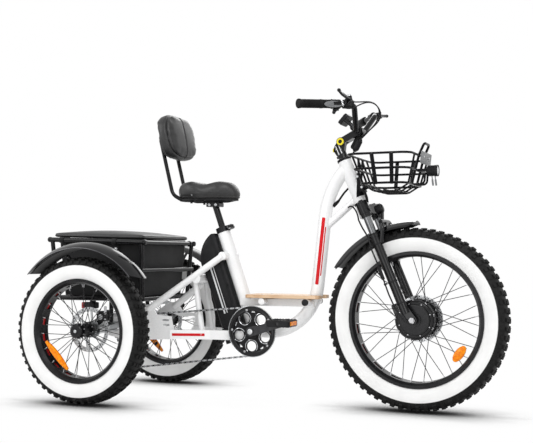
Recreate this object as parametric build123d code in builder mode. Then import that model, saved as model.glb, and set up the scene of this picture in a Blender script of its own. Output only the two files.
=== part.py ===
from build123d import *
import os
from math import asin, atan2, cos, hypot, pi, radians, sin

os.makedirs("parts", exist_ok=True)

# Driving dimensions in millimetres. X runs forward, Y to the rider's left, Z up from the ground.
# Every x below is measured forward from the rear axle, which stands at rear_axle_x.
rear_axle_x = -663.75
wheelbase = 1270
half_track = 360
front_tyre_radius = 351
rear_tyre_radius = 293.5
front_rim_edge = 260.5
rear_rim_edge = 207.5
tyre_half_width = 50
rim_half_width = 40

# Frame
head_bottom_x = 1049
head_bottom_z = 804
head_lean = 22.3
head_length = 178
head_radius = 27
headset_height = 10
main_radius = 26
main_wall = 3
main_path = [(985, 0, 937), (911, 0, 852), (846, 0, 272), (610, 0, 287)]
main_corners = [330, 215]
strut_ends = [(1042, 0, 826), (895, 0, 702)]
strut_radius = 15
seat_axis_x = 477
seat_axis_z = 620
seat_lean = 19.5
seat_tube_radius = 27
seat_tube_top = 74
crank_x = 614
crank_z = 289
bracket_radius = 30
bracket_half_width = 40
spindle_radius = 12
plate_y = 112
plate_thickness = 6
stay_radius = 14
housing_radius = 22
housing_half = 286
half_axle_radius = 12.5
running_gap = 0.05

# Footboard
board_back = 577
board_front = 895
board_half_width = 71
board_bottom = 422.4
board_thickness = 14
cross_tube_radius = 13

# Drive
chain_y = -70
chain_height = 4.4
chain_half_width = 2.3
chainring_pitch = 97
cassette_pitch = 40.4
sprocket_step = 5
guide_pulley = (30, 222, 20)
tension_pulley = (62, 137, 20)
arm_length = 166
arm_angle = 15
arm_y = 80
arm_thickness = 14
pedal_inner_y = 104
pedal_outer_y = 204
pedal_length = 96
pedal_height = 26

# Fork, in the steering frame: x forward of the axis, z up the axis from the head tube's foot
leg_offset = 18
leg_y = 74
stanchion_radius = 15
leg_radius = 17.5
crown_top = -20
crown_bottom = -60
leg_top = -145
leg_bottom = -470
arch_offset = 58
arch_height = -108
axle_radius = 8

# Steering column and handlebar
pivot_x = 970
pivot_z = 1045
bar_radius = 11.1
bar_clamp = (1043, 0, 1083)
bar_bend = (1067, 148, 1168)
bar_end = (914, 338, 1152)
grip_radius = 16.5
grip_length = 100
throttle_from = 102
throttle_to = 134
shifter_at = 160
perch_at = 209
pivot_ahead = 32
right_lever_tilt = 24
left_lever_tilt = 13
right_blade_reach = 86
left_blade_reach = 62

# Seat, with positions up the seat tube from its axis point
seat_post_radius = 13.6
post_foot = -110
saddle_back = 250
saddle_front = 526
saddle_base_z = 826
saddle_top_z = 900
backrest_tube_radius = 8
backrest_half_gap = 60
pad_bottom_z = 988
pad_top_z = 1190
pad_lean = 12
pad_half_width = 150

# Cargo rack and bag
rail_radius = 10
cross_rail_radius = 9.4
rack_front = 186
rack_back = -250
rack_top_z = 646
rack_rise = 0.032
rack_top_half = 220
rack_mid_z = 532
rack_mid_half = 218
rack_floor_z = 414
rack_floor_front = 176
rack_floor_back = -236
rack_floor_half = 196
lid_front = 186
lid_back = -264
lid_half = 208
lid_back_z = 672
lid_front_z = 660
lid_edge = 15
lid_top_z = 694

# Rear fenders: centre of their arc, and the crown's radius, the lip's radius and half the width
rear_fender_centre = (10, 312.5)
rear_fender_size = (334, 310.5, 61)

# Front basket
basket_rings = [(976, 1043, 1290, 180), (922, 1062, 1276, 160), (868, 1082, 1262, 138)]
basket_wire = 4.5
basket_belly_z = 840


def at(x, y, z):
    """A point whose x is measured forward from the rear axle."""
    return Vector(x + rear_axle_x, y, z)


def side_plane(y):
    """The plane at width y seen from the right: local x runs forward, local y is height."""
    return Plane(at(0, y, 0), x_dir=(1, 0, 0), z_dir=(0, -1, 0))


def leaning_plane(x, z, lean):
    """The plane square to an axis that leans back by lean degrees. Local z runs up the axis."""
    return Plane(at(x, 0, z), x_dir=(cos(radians(lean)), 0, sin(radians(lean))),
                 z_dir=(-sin(radians(lean)), 0, cos(radians(lean))))


steer_plane = leaning_plane(head_bottom_x, head_bottom_z, head_lean)
seat_plane = leaning_plane(seat_axis_x, seat_axis_z, seat_lean)


def steer(x, y, z):
    """A point in the steering frame."""
    return steer_plane.from_local_coords(Vector(x, y, z))


def seat(x, y, z):
    """A point in the seat tube's frame."""
    return seat_plane.from_local_coords(Vector(x, y, z))


def rod(start, end, radius, bore=0, mode=Mode.ADD):
    """A straight round bar or tube in the part being built."""
    run = end - start
    with BuildSketch(Plane(start, z_dir=run)) as section:
        Circle(radius)
        if bore:
            Circle(bore, mode=Mode.SUBTRACT)
    extrude(section.sketch, amount=run.length, mode=mode)


def drum(x, z, radius, y_from, y_to, bore=0, mode=Mode.ADD):
    """A round bar or ring that lies across the tricycle."""
    rod(at(x, y_from, z), at(x, y_to, z), radius, bore, mode)


def bent_rod(points, radius, corners, close=False, mode=Mode.ADD):
    """A round bar along straight runs joined by tangent arcs."""
    with BuildLine() as path:
        FilletPolyline(*points, radius=corners, close=close)
    with BuildSketch(Plane(path.line @ 0, z_dir=path.line % 0)) as section:
        Circle(radius)
    sweep(section.sketch, path=path.line, mode=mode)


def flat_bar(start, end, width, height, mode=Mode.ADD):
    """A bar of rectangular section whose width stays level."""
    run = end - start
    level = Vector(0, 0, 1).cross(run)
    with BuildSketch(Plane(start, x_dir=level, z_dir=run)) as section:
        Rectangle(width, height)
    extrude(section.sketch, amount=run.length, mode=mode)


def block(centre, length, width, height, mode=Mode.ADD):
    """An upright box about its centre, sized along X, Y and Z."""
    with Locations(centre):
        Box(length, width, height, mode=mode)


def save(piece, label):
    """Name a finished piece and write it."""
    piece.part.label = label
    export_step(piece.part, f"parts/{label}.step")


def mirrored(piece):
    """The same piece on the other side of the tricycle."""
    with BuildPart() as other:
        mirror(piece.part, about=Plane.XZ)
    return other


# Solid cores that neighbouring tubes are mitred against
with BuildPart() as head_core:
    rod(steer(0, 0, -headset_height), steer(0, 0, head_length + headset_height), head_radius)
with BuildPart() as seat_core:
    rod(seat(0, 0, -370), seat(0, 0, seat_tube_top), seat_tube_radius)
with BuildPart() as bracket_core:
    drum(crank_x, crank_z, bracket_radius, -bracket_half_width, bracket_half_width)
with BuildPart() as main_core:
    bent_rod([at(*p) for p in main_path], main_radius, main_corners)

# Head tube with its headset cups
with BuildPart() as head_tube:
    rod(steer(0, 0, 0), steer(0, 0, head_length), head_radius, bore=21)
    rod(steer(0, 0, -headset_height), steer(0, 0, 0), head_radius + 1, bore=17)
    rod(steer(0, 0, head_length), steer(0, 0, head_length + headset_height), head_radius + 1, bore=17)
save(head_tube, "head_tube")

# Low-step main tube with the strut under the head tube
with BuildPart() as main_tube:
    bent_rod([at(*p) for p in main_path], main_radius, main_corners)
    rod(at(*strut_ends[0]), at(*strut_ends[1]), strut_radius)
    bent_rod([at(*p) for p in main_path], main_radius - main_wall, main_corners, mode=Mode.SUBTRACT)
    rod(at(*strut_ends[0]), at(*strut_ends[1]), strut_radius - main_wall, mode=Mode.SUBTRACT)
    add(head_core.part, mode=Mode.SUBTRACT)
    add(head_tube.part, mode=Mode.SUBTRACT)
    add(bracket_core.part, mode=Mode.SUBTRACT)
    add(seat_core.part, mode=Mode.SUBTRACT)
save(main_tube, "main_tube")

# Seat tube: the upper bore guides the seat post
with BuildPart() as seat_tube:
    rod(seat(0, 0, -352), seat(0, 0, seat_tube_top), seat_tube_radius)
    rod(seat(0, 0, -352), seat(0, 0, -100), seat_tube_radius - 3, mode=Mode.SUBTRACT)
    rod(seat(0, 0, -100), seat(0, 0, seat_tube_top), seat_post_radius + running_gap, mode=Mode.SUBTRACT)
    add(bracket_core.part, mode=Mode.SUBTRACT)
save(seat_tube, "seat_tube")

# Bottom bracket shell with its two bearing cups
with BuildPart() as bottom_bracket:
    drum(crank_x, crank_z, bracket_radius, -bracket_half_width, bracket_half_width)
    drum(crank_x, crank_z, 24, -28, 28, mode=Mode.SUBTRACT)
    drum(crank_x, crank_z, spindle_radius + running_gap, -50, 50, mode=Mode.SUBTRACT)
save(bottom_bracket, "bottom_bracket")

# Axle plates that carry the rear axle housing
plate_outline = [(-42, 330), (-42, 256), (60, 238), (262, 248), (278, 290), (268, 342), (200, 348),
                 (172, 388), (132, 388), (60, 338)]
left_window = [(66, 312), (66, 264), (240, 270), (254, 290), (248, 322), (186, 328), (150, 338), (118, 342)]
with BuildPart() as axle_plates:
    with BuildSketch(side_plane(-plate_y)):
        with BuildLine():
            Polyline(*plate_outline, close=True)
        make_face()
        with Locations((0, rear_tyre_radius)):
            Circle(housing_radius, mode=Mode.SUBTRACT)
        with Locations((110, 285)):
            Circle(14, mode=Mode.SUBTRACT)
        with Locations((242, 326), (244, 306)):
            SlotOverall(34, 7, mode=Mode.SUBTRACT)
    extrude(amount=plate_thickness)
    mirror(about=Plane.XZ)
    with BuildSketch(side_plane(plate_y)) as window:
        with BuildLine():
            Polyline(*left_window, close=True)
        make_face()
    extrude(window.sketch, amount=plate_thickness + 4, both=True, mode=Mode.SUBTRACT)
save(axle_plates, "axle_plates")

# Chainstays
with BuildPart() as chainstays:
    flat_bar(at(604, -36, 268), at(420, -61, 268), 22, 38)
    rod(at(420, -61, 249), at(420, -61, 287), 11)
    flat_bar(at(420, -61, 268), at(262, -plate_y - 3, 268), 22, 38)
    mirror(about=Plane.XZ)
    add(bracket_core.part, mode=Mode.SUBTRACT)
    add(seat_core.part, mode=Mode.SUBTRACT)
    add(axle_plates.part, mode=Mode.SUBTRACT)
    drum(crank_x, crank_z, spindle_radius + 3, -60, 60, mode=Mode.SUBTRACT)
save(chainstays, "chainstays")

# Seat stays with the lug, bridges and struts between them
stay_top = (474, -60, 592)
stay_foot = (158, -plate_y - 3, 368)
with BuildPart() as seat_stays:
    rod(at(*stay_top), at(*stay_foot), stay_radius)
    rod(at(345, -50, 486), at(378, -50, 274), 12)
    mirror(about=Plane.XZ)
    drum(474, 592, 17, -66, 66)
    drum(366, 498, 19, -86, 86)
    drum(378, 270, 12, -84, 84)
    add(seat_core.part, mode=Mode.SUBTRACT)
    add(chainstays.part, mode=Mode.SUBTRACT)
    add(axle_plates.part, mode=Mode.SUBTRACT)
save(seat_stays, "seat_stays")

# Rear axle housing with the differential case at its middle
with BuildPart() as axle_housing:
    drum(0, rear_tyre_radius, housing_radius, -housing_half, housing_half)
    drum(0, rear_tyre_radius, 54, -36, 36)
    drum(0, rear_tyre_radius, 40, -38, -36)
    for side in (-1, 1):
        drum(0, rear_tyre_radius, 34, side * (housing_half - 6), side * housing_half)
    drum(0, rear_tyre_radius, half_axle_radius + running_gap, -housing_half, -40, mode=Mode.SUBTRACT)
    drum(0, rear_tyre_radius, half_axle_radius + running_gap, 40, housing_half, mode=Mode.SUBTRACT)
save(axle_housing, "axle_housing")

# Footboard beam with the two cross tubes that the board lies on
cross_z = board_bottom - cross_tube_radius
with BuildPart() as footboard_beam:
    flat_bar(at(540, 0, 404), at(862, 0, 404), 56, 28)
    drum(845, cross_z, cross_tube_radius, -89, 89)
    drum(650, cross_z, cross_tube_radius, -66, 66)
    add(seat_core.part, mode=Mode.SUBTRACT)
    add(main_core.part, mode=Mode.SUBTRACT)
save(footboard_beam, "footboard_beam")

with BuildPart() as footboard:
    with BuildSketch(Plane(at((board_back + board_front) / 2, 0, board_bottom))):
        RectangleRounded(board_front - board_back, 2 * board_half_width, 16)
    extrude(amount=board_thickness)
    fillet(footboard.edges().filter_by(Axis.Z, reverse=True), 3)
    bent_rod([at(*p) for p in main_path], main_radius + 2, main_corners, mode=Mode.SUBTRACT)
    block(at(board_front, 0, board_bottom), 70, 2 * main_radius + 4, 60, mode=Mode.SUBTRACT)
save(footboard, "footboard")

# Battery pack behind the seat tube
battery_side = Plane(seat(0, 0, 0), x_dir=seat_plane.x_dir, z_dir=(0, -1, 0))
battery_half_width = 40
with BuildPart() as battery_pack:
    with BuildSketch(battery_side.offset(-battery_half_width)):
        with BuildLine():
            Polyline((-124, -52), (-124, -380), (-30, -380), (-30, 80), (-42, 82))
            ThreePointArc((-42, 82), (-97, 44), (-124, -52))
        make_face()
    extrude(amount=2 * battery_half_width)
    chamfer(battery_pack.edges().filter_by(lambda e: abs((e % 0).dot(seat_plane.z_dir)) > 0.99
                                           and e.length > 200), 7)
    block(at(480, 0, 144), 400, 200, 300, mode=Mode.SUBTRACT)
save(battery_pack, "battery_pack")


# Chain path: each wheel is (x, z, radius, turn), with turn +1 where the chain runs round it
# from its top over its back to its foot
def tangent_run(first, second):
    """The chain's straight run from one wheel to the next, as two points in the side plane."""
    dx = second[0] - first[0]
    dz = second[1] - first[1]
    swing = asin((first[3] * first[2] - second[3] * second[2]) / hypot(dx, dz))
    heading = atan2(dz, dx) + swing
    nx = sin(heading)
    nz = -cos(heading)
    leave = (first[0] + first[3] * first[2] * nx, first[1] + first[3] * first[2] * nz)
    meet = (second[0] + second[3] * second[2] * nx, second[1] + second[3] * second[2] * nz)
    return leave, meet


def arc_middle(wheel, start, end):
    """The middle of the chain's arc round a wheel."""
    from_angle = atan2(start[1] - wheel[1], start[0] - wheel[0])
    sweep_angle = wheel[3] * (atan2(end[1] - wheel[1], end[0] - wheel[0]) - from_angle)
    half = wheel[3] * (sweep_angle % (2 * pi)) / 2
    return (wheel[0] + wheel[2] * cos(from_angle + half), wheel[1] + wheel[2] * sin(from_angle + half))


chain_wheels = [(0, rear_tyre_radius, cassette_pitch, 1), (*guide_pulley, -1), (*tension_pulley, 1),
                (crank_x, crank_z, chainring_pitch, 1)]
chain_runs = [tangent_run(chain_wheels[i - 1], chain_wheels[i]) for i in range(4)]
with BuildPart() as drive_chain:
    with BuildSketch(side_plane(chain_y)):
        with BuildLine():
            for i, wheel in enumerate(chain_wheels):
                meet = chain_runs[i][1]
                leave = chain_runs[(i + 1) % 4][0]
                Line(chain_runs[i][0], meet)
                ThreePointArc(meet, arc_middle(wheel, meet, leave), leave)
        trace(line_width=chain_height)
    extrude(amount=chain_half_width, both=True)
save(drive_chain, "drive_chain")

# Rear derailleur: hanger on the axle plate, body, cage and two pulleys
pulley_face = chain_height / 2 + 0.1
cage_y = chain_y - chain_half_width - 2
with BuildPart() as rear_derailleur:
    for pulley in (guide_pulley, tension_pulley):
        drum(pulley[0], pulley[1], pulley[2] - pulley_face, chain_y - 2, chain_y + 2)
        drum(pulley[0], pulley[1], 5, cage_y - 3, -cage_y + 2 * chain_y + 3)
    for y in (cage_y, -cage_y + 2 * chain_y):
        with BuildSketch(side_plane(y)) as cage:
            with Locations(guide_pulley[:2], tension_pulley[:2]):
                Circle(14)
            make_hull()
        extrude(cage.sketch, amount=1.5, both=True)
    flat_bar(at(30, cage_y - 10, 222), at(30, cage_y - 2, 222), 34, 36)
    flat_bar(at(30, cage_y - 12, 224), at(26, -plate_y + 10, 262), 26, 22)
    flat_bar(at(26, -plate_y, 258), at(26, -plate_y + 16, 258), 26, 30)
    add(axle_plates.part, mode=Mode.SUBTRACT)
save(rear_derailleur, "rear_derailleur")

def fender_lip_z(x):
    """Height of the rear fenders' lip over a place along the trike."""
    return rear_fender_centre[1] + (rear_fender_size[1] ** 2 - (x - rear_fender_centre[0]) ** 2) ** 0.5


def rack_rail_z(x):
    """Height of the rack's top side rails, which rise to the back."""
    return rack_top_z + (rack_front - x) * rack_rise


# Cargo rack: three tube rings, posts, floor slats, legs on the axle housing and fender arms
arm_x = 118
hinge_z = rack_rail_z(rack_back)
with BuildPart() as cargo_rack:
    for side in (-1, 1):
        rod(at(rack_back - 15, side * rack_top_half, rack_rail_z(rack_back - 15)),
            at(rack_front + 14, side * rack_top_half, rack_rail_z(rack_front + 14)), rail_radius)
        rod(at(rack_back + 4, side * rack_mid_half, rack_mid_z),
            at(rack_front, side * rack_mid_half, rack_mid_z), rail_radius)
        rod(at(rack_floor_back, side * rack_floor_half, rack_floor_z),
            at(rack_floor_front, side * rack_floor_half, rack_floor_z), rail_radius)
        for y in (45, 130):
            rod(at(rack_floor_back, side * y, rack_floor_z),
                at(rack_floor_front, side * y, rack_floor_z), 7)
        rod(at(0, side * 150, rear_tyre_radius), at(0, side * 150, rack_floor_z), 9)
        for x in (-arm_x, arm_x):
            rod(at(x, side * rack_mid_half, rack_mid_z), at(x, side * 299, fender_lip_z(x) - 2), 6)
        for top_x, floor_x in ((rack_front, rack_floor_front), (rack_back, rack_floor_back)):
            rod(at(floor_x, side * rack_floor_half, rack_floor_z),
                at(top_x, side * rack_top_half, rack_rail_z(top_x)), 9)
    for x, half, z in ((rack_front, rack_top_half + 3, rack_top_z), (rack_back, rack_top_half, hinge_z),
                       (rack_front, rack_mid_half + 5, rack_mid_z),
                       (rack_back + 4, rack_mid_half, rack_mid_z),
                       (rack_floor_front, rack_floor_half, rack_floor_z), (0, rack_floor_half, rack_floor_z),
                       (rack_floor_back, rack_floor_half, rack_floor_z)):
        drum(x, z, cross_rail_radius, -half, half)
    drum(0, rear_tyre_radius, housing_radius, 100, 200, mode=Mode.SUBTRACT)
    drum(0, rear_tyre_radius, housing_radius, -200, -100, mode=Mode.SUBTRACT)

# Cargo bag, open at the top, inside the rack
bag_floor_z = rack_floor_z + rail_radius + 0.5
bag_wall = 4


def bag_shell(inset):
    """Loft the tapered bag, smaller all round by inset, into the part being built."""
    sections = []
    for z, front, back, half in ((bag_floor_z + inset, 163, -222, 184), (656, 174, -238, 207)):
        with BuildSketch(Plane(at((front + back) / 2, 0, z))) as section:
            RectangleRounded(front - back - 2 * inset, 2 * (half - inset), 22 - inset)
        sections.append(section.sketch)
    loft(sections, mode=Mode.SUBTRACT if inset else Mode.ADD)


with BuildPart() as cargo_bag:
    bag_shell(0)
    bag_shell(bag_wall)
save(cargo_bag, "cargo_bag")

# Padded lid with two hinge loops round the rack's rear rail
with BuildPart() as cargo_lid:
    with BuildSketch(side_plane(-lid_half)):
        with BuildLine():
            Polyline((lid_back, lid_back_z + lid_edge), (lid_back, lid_back_z), (lid_front, lid_front_z),
                     (lid_front, lid_front_z + lid_edge))
            ThreePointArc((lid_front, lid_front_z + lid_edge), ((lid_front + lid_back) / 2, lid_top_z),
                          (lid_back, lid_back_z + lid_edge))
        make_face()
    extrude(amount=-2 * lid_half)
    fillet(cargo_lid.edges().filter_by(Axis.Z), 12)
    fillet(cargo_lid.faces().sort_by(Axis.Z)[-1].edges(), 7)
    for side in (-1, 1):
        drum(rack_back, hinge_z, cross_rail_radius + 2.4, side * 105, side * 135)
        block(at(rack_back, side * 120, hinge_z + 12), 18, 30, 3.4)
    drum(rack_back, hinge_z, cross_rail_radius + running_gap, -150, 150, mode=Mode.SUBTRACT)
save(cargo_lid, "cargo_lid")


def fender(centre, radius, lip_radius, half_width, from_angle, to_angle):
    """An arched mudguard round a wheel, with a crowned section, into the part being built."""
    start = radians(to_angle)
    section_plane = Plane(centre, x_dir=(0, 1, 0), z_dir=(sin(start), 0, -cos(start)))
    with BuildSketch(section_plane) as section:
        with BuildLine():
            ThreePointArc((-half_width, lip_radius), (0, radius), (half_width, lip_radius))
            Line((half_width, lip_radius), (half_width - 3, lip_radius))
            ThreePointArc((half_width - 3, lip_radius), (0, radius - 3), (3 - half_width, lip_radius))
            Line((3 - half_width, lip_radius), (-half_width, lip_radius))
        make_face()
    revolve(section.sketch, axis=Axis(centre, (0, 1, 0)), revolution_arc=to_angle - from_angle)


# Rear fenders, and the rack cut clear of them where its arms meet them
with BuildPart() as rear_fenders:
    for side in (-1, 1):
        y = side * half_track
        fender(at(rear_fender_centre[0], y, rear_fender_centre[1]), *rear_fender_size, 30, 146)
        flat_bar(at(131, y, 493), at(331, y, 425), 130, 120, mode=Mode.SUBTRACT)
        block(at(-260, y, 456), 160, 130, 120, mode=Mode.SUBTRACT)
save(rear_fenders, "rear_fenders")
with BuildPart() as rack_with_arms:
    add(cargo_rack.part)
    add(rear_fenders.part, mode=Mode.SUBTRACT)
    for side in (-1, 1):
        inner_lip_y = half_track - rear_fender_size[2] + 0.5
        drum(*rear_fender_centre, rear_fender_size[1], side * inner_lip_y, side * 420, mode=Mode.SUBTRACT)
save(rack_with_arms, "cargo_rack")

# Tail light under the rear of the rack
with BuildPart() as tail_light:
    block(at(-202, 0, 372), 66, 40, 28)
    fillet(tail_light.edges(), 6)
    block(at(-190, 0, 395), 16, 24, 22)
    drum(rack_floor_back, rack_floor_z, cross_rail_radius, -30, 30, mode=Mode.SUBTRACT)
    rod(at(-240, 0, 372), at(-232, 0, 372), 14)
save(tail_light, "tail_light")

# Rear disc calipers, each on an arm from the axle housing
rotor_y = 312
with BuildPart() as rear_calipers:
    block(at(66, -rotor_y, 350), 46, 29, 40)
    fillet(rear_calipers.edges().filter_by(Axis.Y), 8)
    block(at(40, -rotor_y, 330), 110, 7, 80, mode=Mode.SUBTRACT)
    drum(84, 362, 11, -rotor_y - 18, -rotor_y - 14)
    flat_bar(at(28, -291.5, 322), at(80, -291.5, 362), 14, 30)
    block(at(78, -rotor_y, 366), 18, 28, 10)
    drum(0, rear_tyre_radius, 34, -300, -270, mode=Mode.SUBTRACT)
    mirror(about=Plane.XZ)
save(rear_calipers, "rear_calipers")

# Seat collar with the ears for its clamp bolt
lever_x = 38
lever_z = 86
with BuildPart() as seat_collar:
    rod(seat(0, 0, seat_tube_top), seat(0, 0, seat_tube_top + 22), seat_tube_radius + 2)
    flat_bar(seat(18, 0, lever_z), seat(lever_x + 8, 0, lever_z), 28, 18)
    rod(seat(0, 0, seat_tube_top), seat(0, 0, seat_tube_top + 22), seat_post_radius + 1.5, mode=Mode.SUBTRACT)
    flat_bar(seat(0, 0, lever_z), seat(lever_x + 9, 0, lever_z), 4, 30, mode=Mode.SUBTRACT)
    rod(seat(lever_x, 0, lever_z), seat(lever_x, 22, lever_z), 3)
    rod(seat(lever_x, 14, lever_z), seat(lever_x, 22, lever_z), 7)
    rod(seat(lever_x, 0, lever_z), seat(lever_x, -20, lever_z), 3)
    rod(seat(lever_x, -14.5, lever_z), seat(lever_x, -20, lever_z), 8)
save(seat_collar, "seat_collar")

# Quick release lever on the right of the collar
with BuildPart() as seat_clamp_lever:
    rod(seat(lever_x, -25, lever_z - 6), seat(lever_x, -25, lever_z + 6), 4.5)
    flat_bar(seat(lever_x + 2, -25.5, lever_z), seat(lever_x + 2, -25.5, lever_z) + Vector(22, -2, 2), 5, 11)
save(seat_clamp_lever, "seat_clamp_lever")


# Front basket on its head tube bracket
def ring_points(z, back, front, half):
    return [at(back, -half, z), at(front, -half, z), at(front, half, z), at(back, half, z)]


top_ring, middle_ring, floor_ring = basket_rings
with BuildPart() as front_basket:
    for ring in basket_rings:
        bent_rod(ring_points(*ring), basket_wire, 40, close=True)
    for side in (-1, 1):
        for x_top, x_floor in ((1146, 1150), (1221, 1212)):
            flat_bar(at(x_floor, side * floor_ring[3], floor_ring[0]),
                     at(x_top, side * top_ring[3], top_ring[0]), 5, 14)
        for y_top, y_floor, end in ((95, 80, 1), (28, 25, 1), (110, 94, 2)):
            rod(at(floor_ring[end], side * y_floor, floor_ring[0]),
                at(top_ring[end], side * y_top, top_ring[0]), 4)
        for y in (30, 88):
            belly = [(floor_ring[1], floor_ring[0]), (1128, basket_belly_z), (1216, basket_belly_z),
                     (floor_ring[2], floor_ring[0])]
            bent_rod([at(x, side * y, z) for x, z in belly], 3.5, 40)
    for x in (1128, 1172, 1216):
        drum(x, basket_belly_z + 4, 3.5, -110, 110)
    with BuildSketch(Plane(steer(0, 0, 72), x_dir=(0, 1, 0), z_dir=steer_plane.x_dir)) as bracket_plate:
        RectangleRounded(44, 84, 8)
    extrude(bracket_plate.sketch, amount=34)
    for side in (-1, 1):
        rod(steer(32, side * 16, 90), at(top_ring[1] + 4, side * 28, top_ring[0] - 6), 5)
        rod(steer(32, side * 16, 46), at(floor_ring[1] + 2, side * 25, floor_ring[0]), 5)
    loop_foot = [(floor_ring[2], 40, floor_ring[0]), (top_ring[2], 42, top_ring[0]), (1311, 42, 1022)]
    bent_rod([at(x, -y, z) for x, y, z in loop_foot] + [at(x, y, z) for x, y, z in reversed(loop_foot)], 5,
             [60, 14, 14, 60])
    lamp_loop = [(floor_ring[2], 22, floor_ring[0]), (1306, 22, floor_ring[0]), (1309, 22, 908)]
    bent_rod([at(x, -y, z) for x, y, z in lamp_loop] + [at(x, y, z) for x, y, z in reversed(lamp_loop)], 4,
             [16, 12, 12, 16])
    add(head_core.part, mode=Mode.SUBTRACT)
    rod(steer(0, 0, -20), steer(0, 0, head_length + 20), head_radius + 1, mode=Mode.SUBTRACT)
    rod(steer(0, 0, 20), steer(0, 0, 130), head_radius + 1, bore=head_radius)
    block(steer(-50, 0, 72), 126, 120, 200, mode=Mode.SUBTRACT)
save(front_basket, "front_basket")

# Headlight on the basket's front
with BuildPart() as headlight:
    rod(at(1311, 0, 919), at(1342, 0, 919), 20)
    chamfer(headlight.edges().sort_by(Axis.X)[0], 5)
    rod(at(1342, 0, 919), at(1355, 0, 919), 22)
    flat_bar(at(1274, 0, 922), at(1314, 0, 922), 30, 10)
    rod(at(1349, 0, 919), at(1355, 0, 919), 19, mode=Mode.SUBTRACT)
    rod(at(1347, 0, 919), at(1352, 0, 919), 19)
    add(front_basket.part, mode=Mode.SUBTRACT)
save(headlight, "headlight")

# Seat post with the saddle clamp on its head
with BuildPart() as seat_post:
    rod(seat(0, 0, post_foot), seat(0, 0, 196), seat_post_radius)
    rod(seat(0, 0, post_foot), seat(0, 0, 180), seat_post_radius - 3, mode=Mode.SUBTRACT)
    block(at(410, 0, 806), 60, 44, 18)
    fillet(seat_post.edges().filter_by(Axis.Y), 4)
save(seat_post, "seat_post")

# Backrest frame: two bent tubes under the saddle, with the plate that holds the pad
back_path = [(387, 826), (285, 826), (241, 850), (197, 1025), (183, 1082)]
pad_plane = Plane(at(197, 0, (pad_bottom_z + pad_top_z) / 2), x_dir=(0, 1, 0),
                  z_dir=(cos(radians(pad_lean)), 0, sin(radians(pad_lean))))
with BuildPart() as backrest_frame:
    for side in (-1, 1):
        y = side * backrest_half_gap
        bent_rod([at(x, y, z) for x, z in back_path], backrest_tube_radius, [60, 50, 400])
        rod(at(330, y, 811), at(330, y, 820), 5)
    with BuildSketch(pad_plane.offset(-9)) as pad_plate:
        with Locations((0, -36)):
            RectangleRounded(146, 60, 10)
    extrude(pad_plate.sketch, amount=8)
save(backrest_frame, "backrest_frame")

# Saddle base pan with its rails
with BuildPart() as saddle_base:
    with BuildSketch(Plane(at(0, 0, saddle_base_z - 4))):
        with Locations((340, 0)):
            Circle(84)
        with Locations((486, 0)):
            Circle(30)
        make_hull()
    extrude(amount=8)
    for side in (-1, 1):
        bent_rod([at(290, side * 26, 825), at(340, side * 22, 819), at(460, side * 22, 819),
                  at(500, side * 16, 825)], 3.5, 20)
    block(at(400, 0, 819), 50, 60, 8)
    add(backrest_frame.part, mode=Mode.SUBTRACT)
save(saddle_base, "saddle_base")

with BuildPart() as saddle:
    with BuildSketch(Plane(at(0, 0, saddle_base_z + 4.2))):
        with Locations((saddle_back + 114, 0)):
            Circle(114)
        with Locations((saddle_front - 46, 0)):
            Circle(46)
        make_hull()
    extrude(amount=saddle_top_z - saddle_base_z - 4.2)
    fillet(saddle.faces().sort_by(Axis.Z)[-1].edges(), 30)
    add(backrest_frame.part, mode=Mode.SUBTRACT)
save(saddle, "saddle")

with BuildPart() as backrest_pad:
    with BuildSketch(pad_plane):
        RectangleRounded(2 * pad_half_width, pad_top_z - pad_bottom_z, 66)
    extrude(amount=52)
    fillet(backrest_pad.faces().sort_by(Axis.X)[-1].edges(), 22)
    fillet(backrest_pad.faces().sort_by(Axis.X)[0].edges(), 8)
    add(backrest_frame.part, mode=Mode.SUBTRACT)
save(backrest_pad, "backrest_pad")

# Fork crown with the steerer and the crown race
leg_ends = ((leg_offset, -leg_y), (leg_offset, leg_y))
steerer_radius = 14.3
steerer_top = head_length + 34
with BuildPart() as fork_crown:
    for leg in leg_ends:
        with BuildSketch(steer_plane.offset(crown_bottom)) as shoulder:
            Circle(28)
            with Locations(leg):
                Circle(23)
            make_hull()
        extrude(shoulder.sketch, amount=crown_top - crown_bottom)
    for side in (-1, 1):
        rod(steer(leg_offset, side * leg_y, -76), steer(leg_offset, side * leg_y, crown_bottom), 20)
        rod(steer(leg_offset, side * leg_y, crown_top), steer(leg_offset, side * leg_y, crown_top + 7), 14)
        rod(steer(leg_offset, side * leg_y, -80), steer(leg_offset, side * leg_y, crown_top - 4),
            stanchion_radius, mode=Mode.SUBTRACT)
    rod(steer(0, 0, crown_top), steer(0, 0, -headset_height - 0.5), 24)
    rod(steer(0, 0, crown_bottom), steer(0, 0, steerer_top), steerer_radius)
    rod(steer(0, 0, crown_bottom), steer(0, 0, steerer_top), steerer_radius - 3, mode=Mode.SUBTRACT)
save(fork_crown, "fork_crown")

with BuildPart() as fork_stanchions:
    for side in (-1, 1):
        rod(steer(leg_offset, side * leg_y, -300), steer(leg_offset, side * leg_y, crown_top - 4),
            stanchion_radius, bore=stanchion_radius - 3)
save(fork_stanchions, "fork_stanchions")

# Hub axle position in the steering frame
axle_at = steer_plane.to_local_coords(at(wheelbase, 0, front_tyre_radius))
axle_x = axle_at.X
axle_z = axle_at.Z
fork_side = Plane(steer(0, 0, 0), x_dir=steer_plane.x_dir, z_dir=(0, -1, 0))

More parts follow.
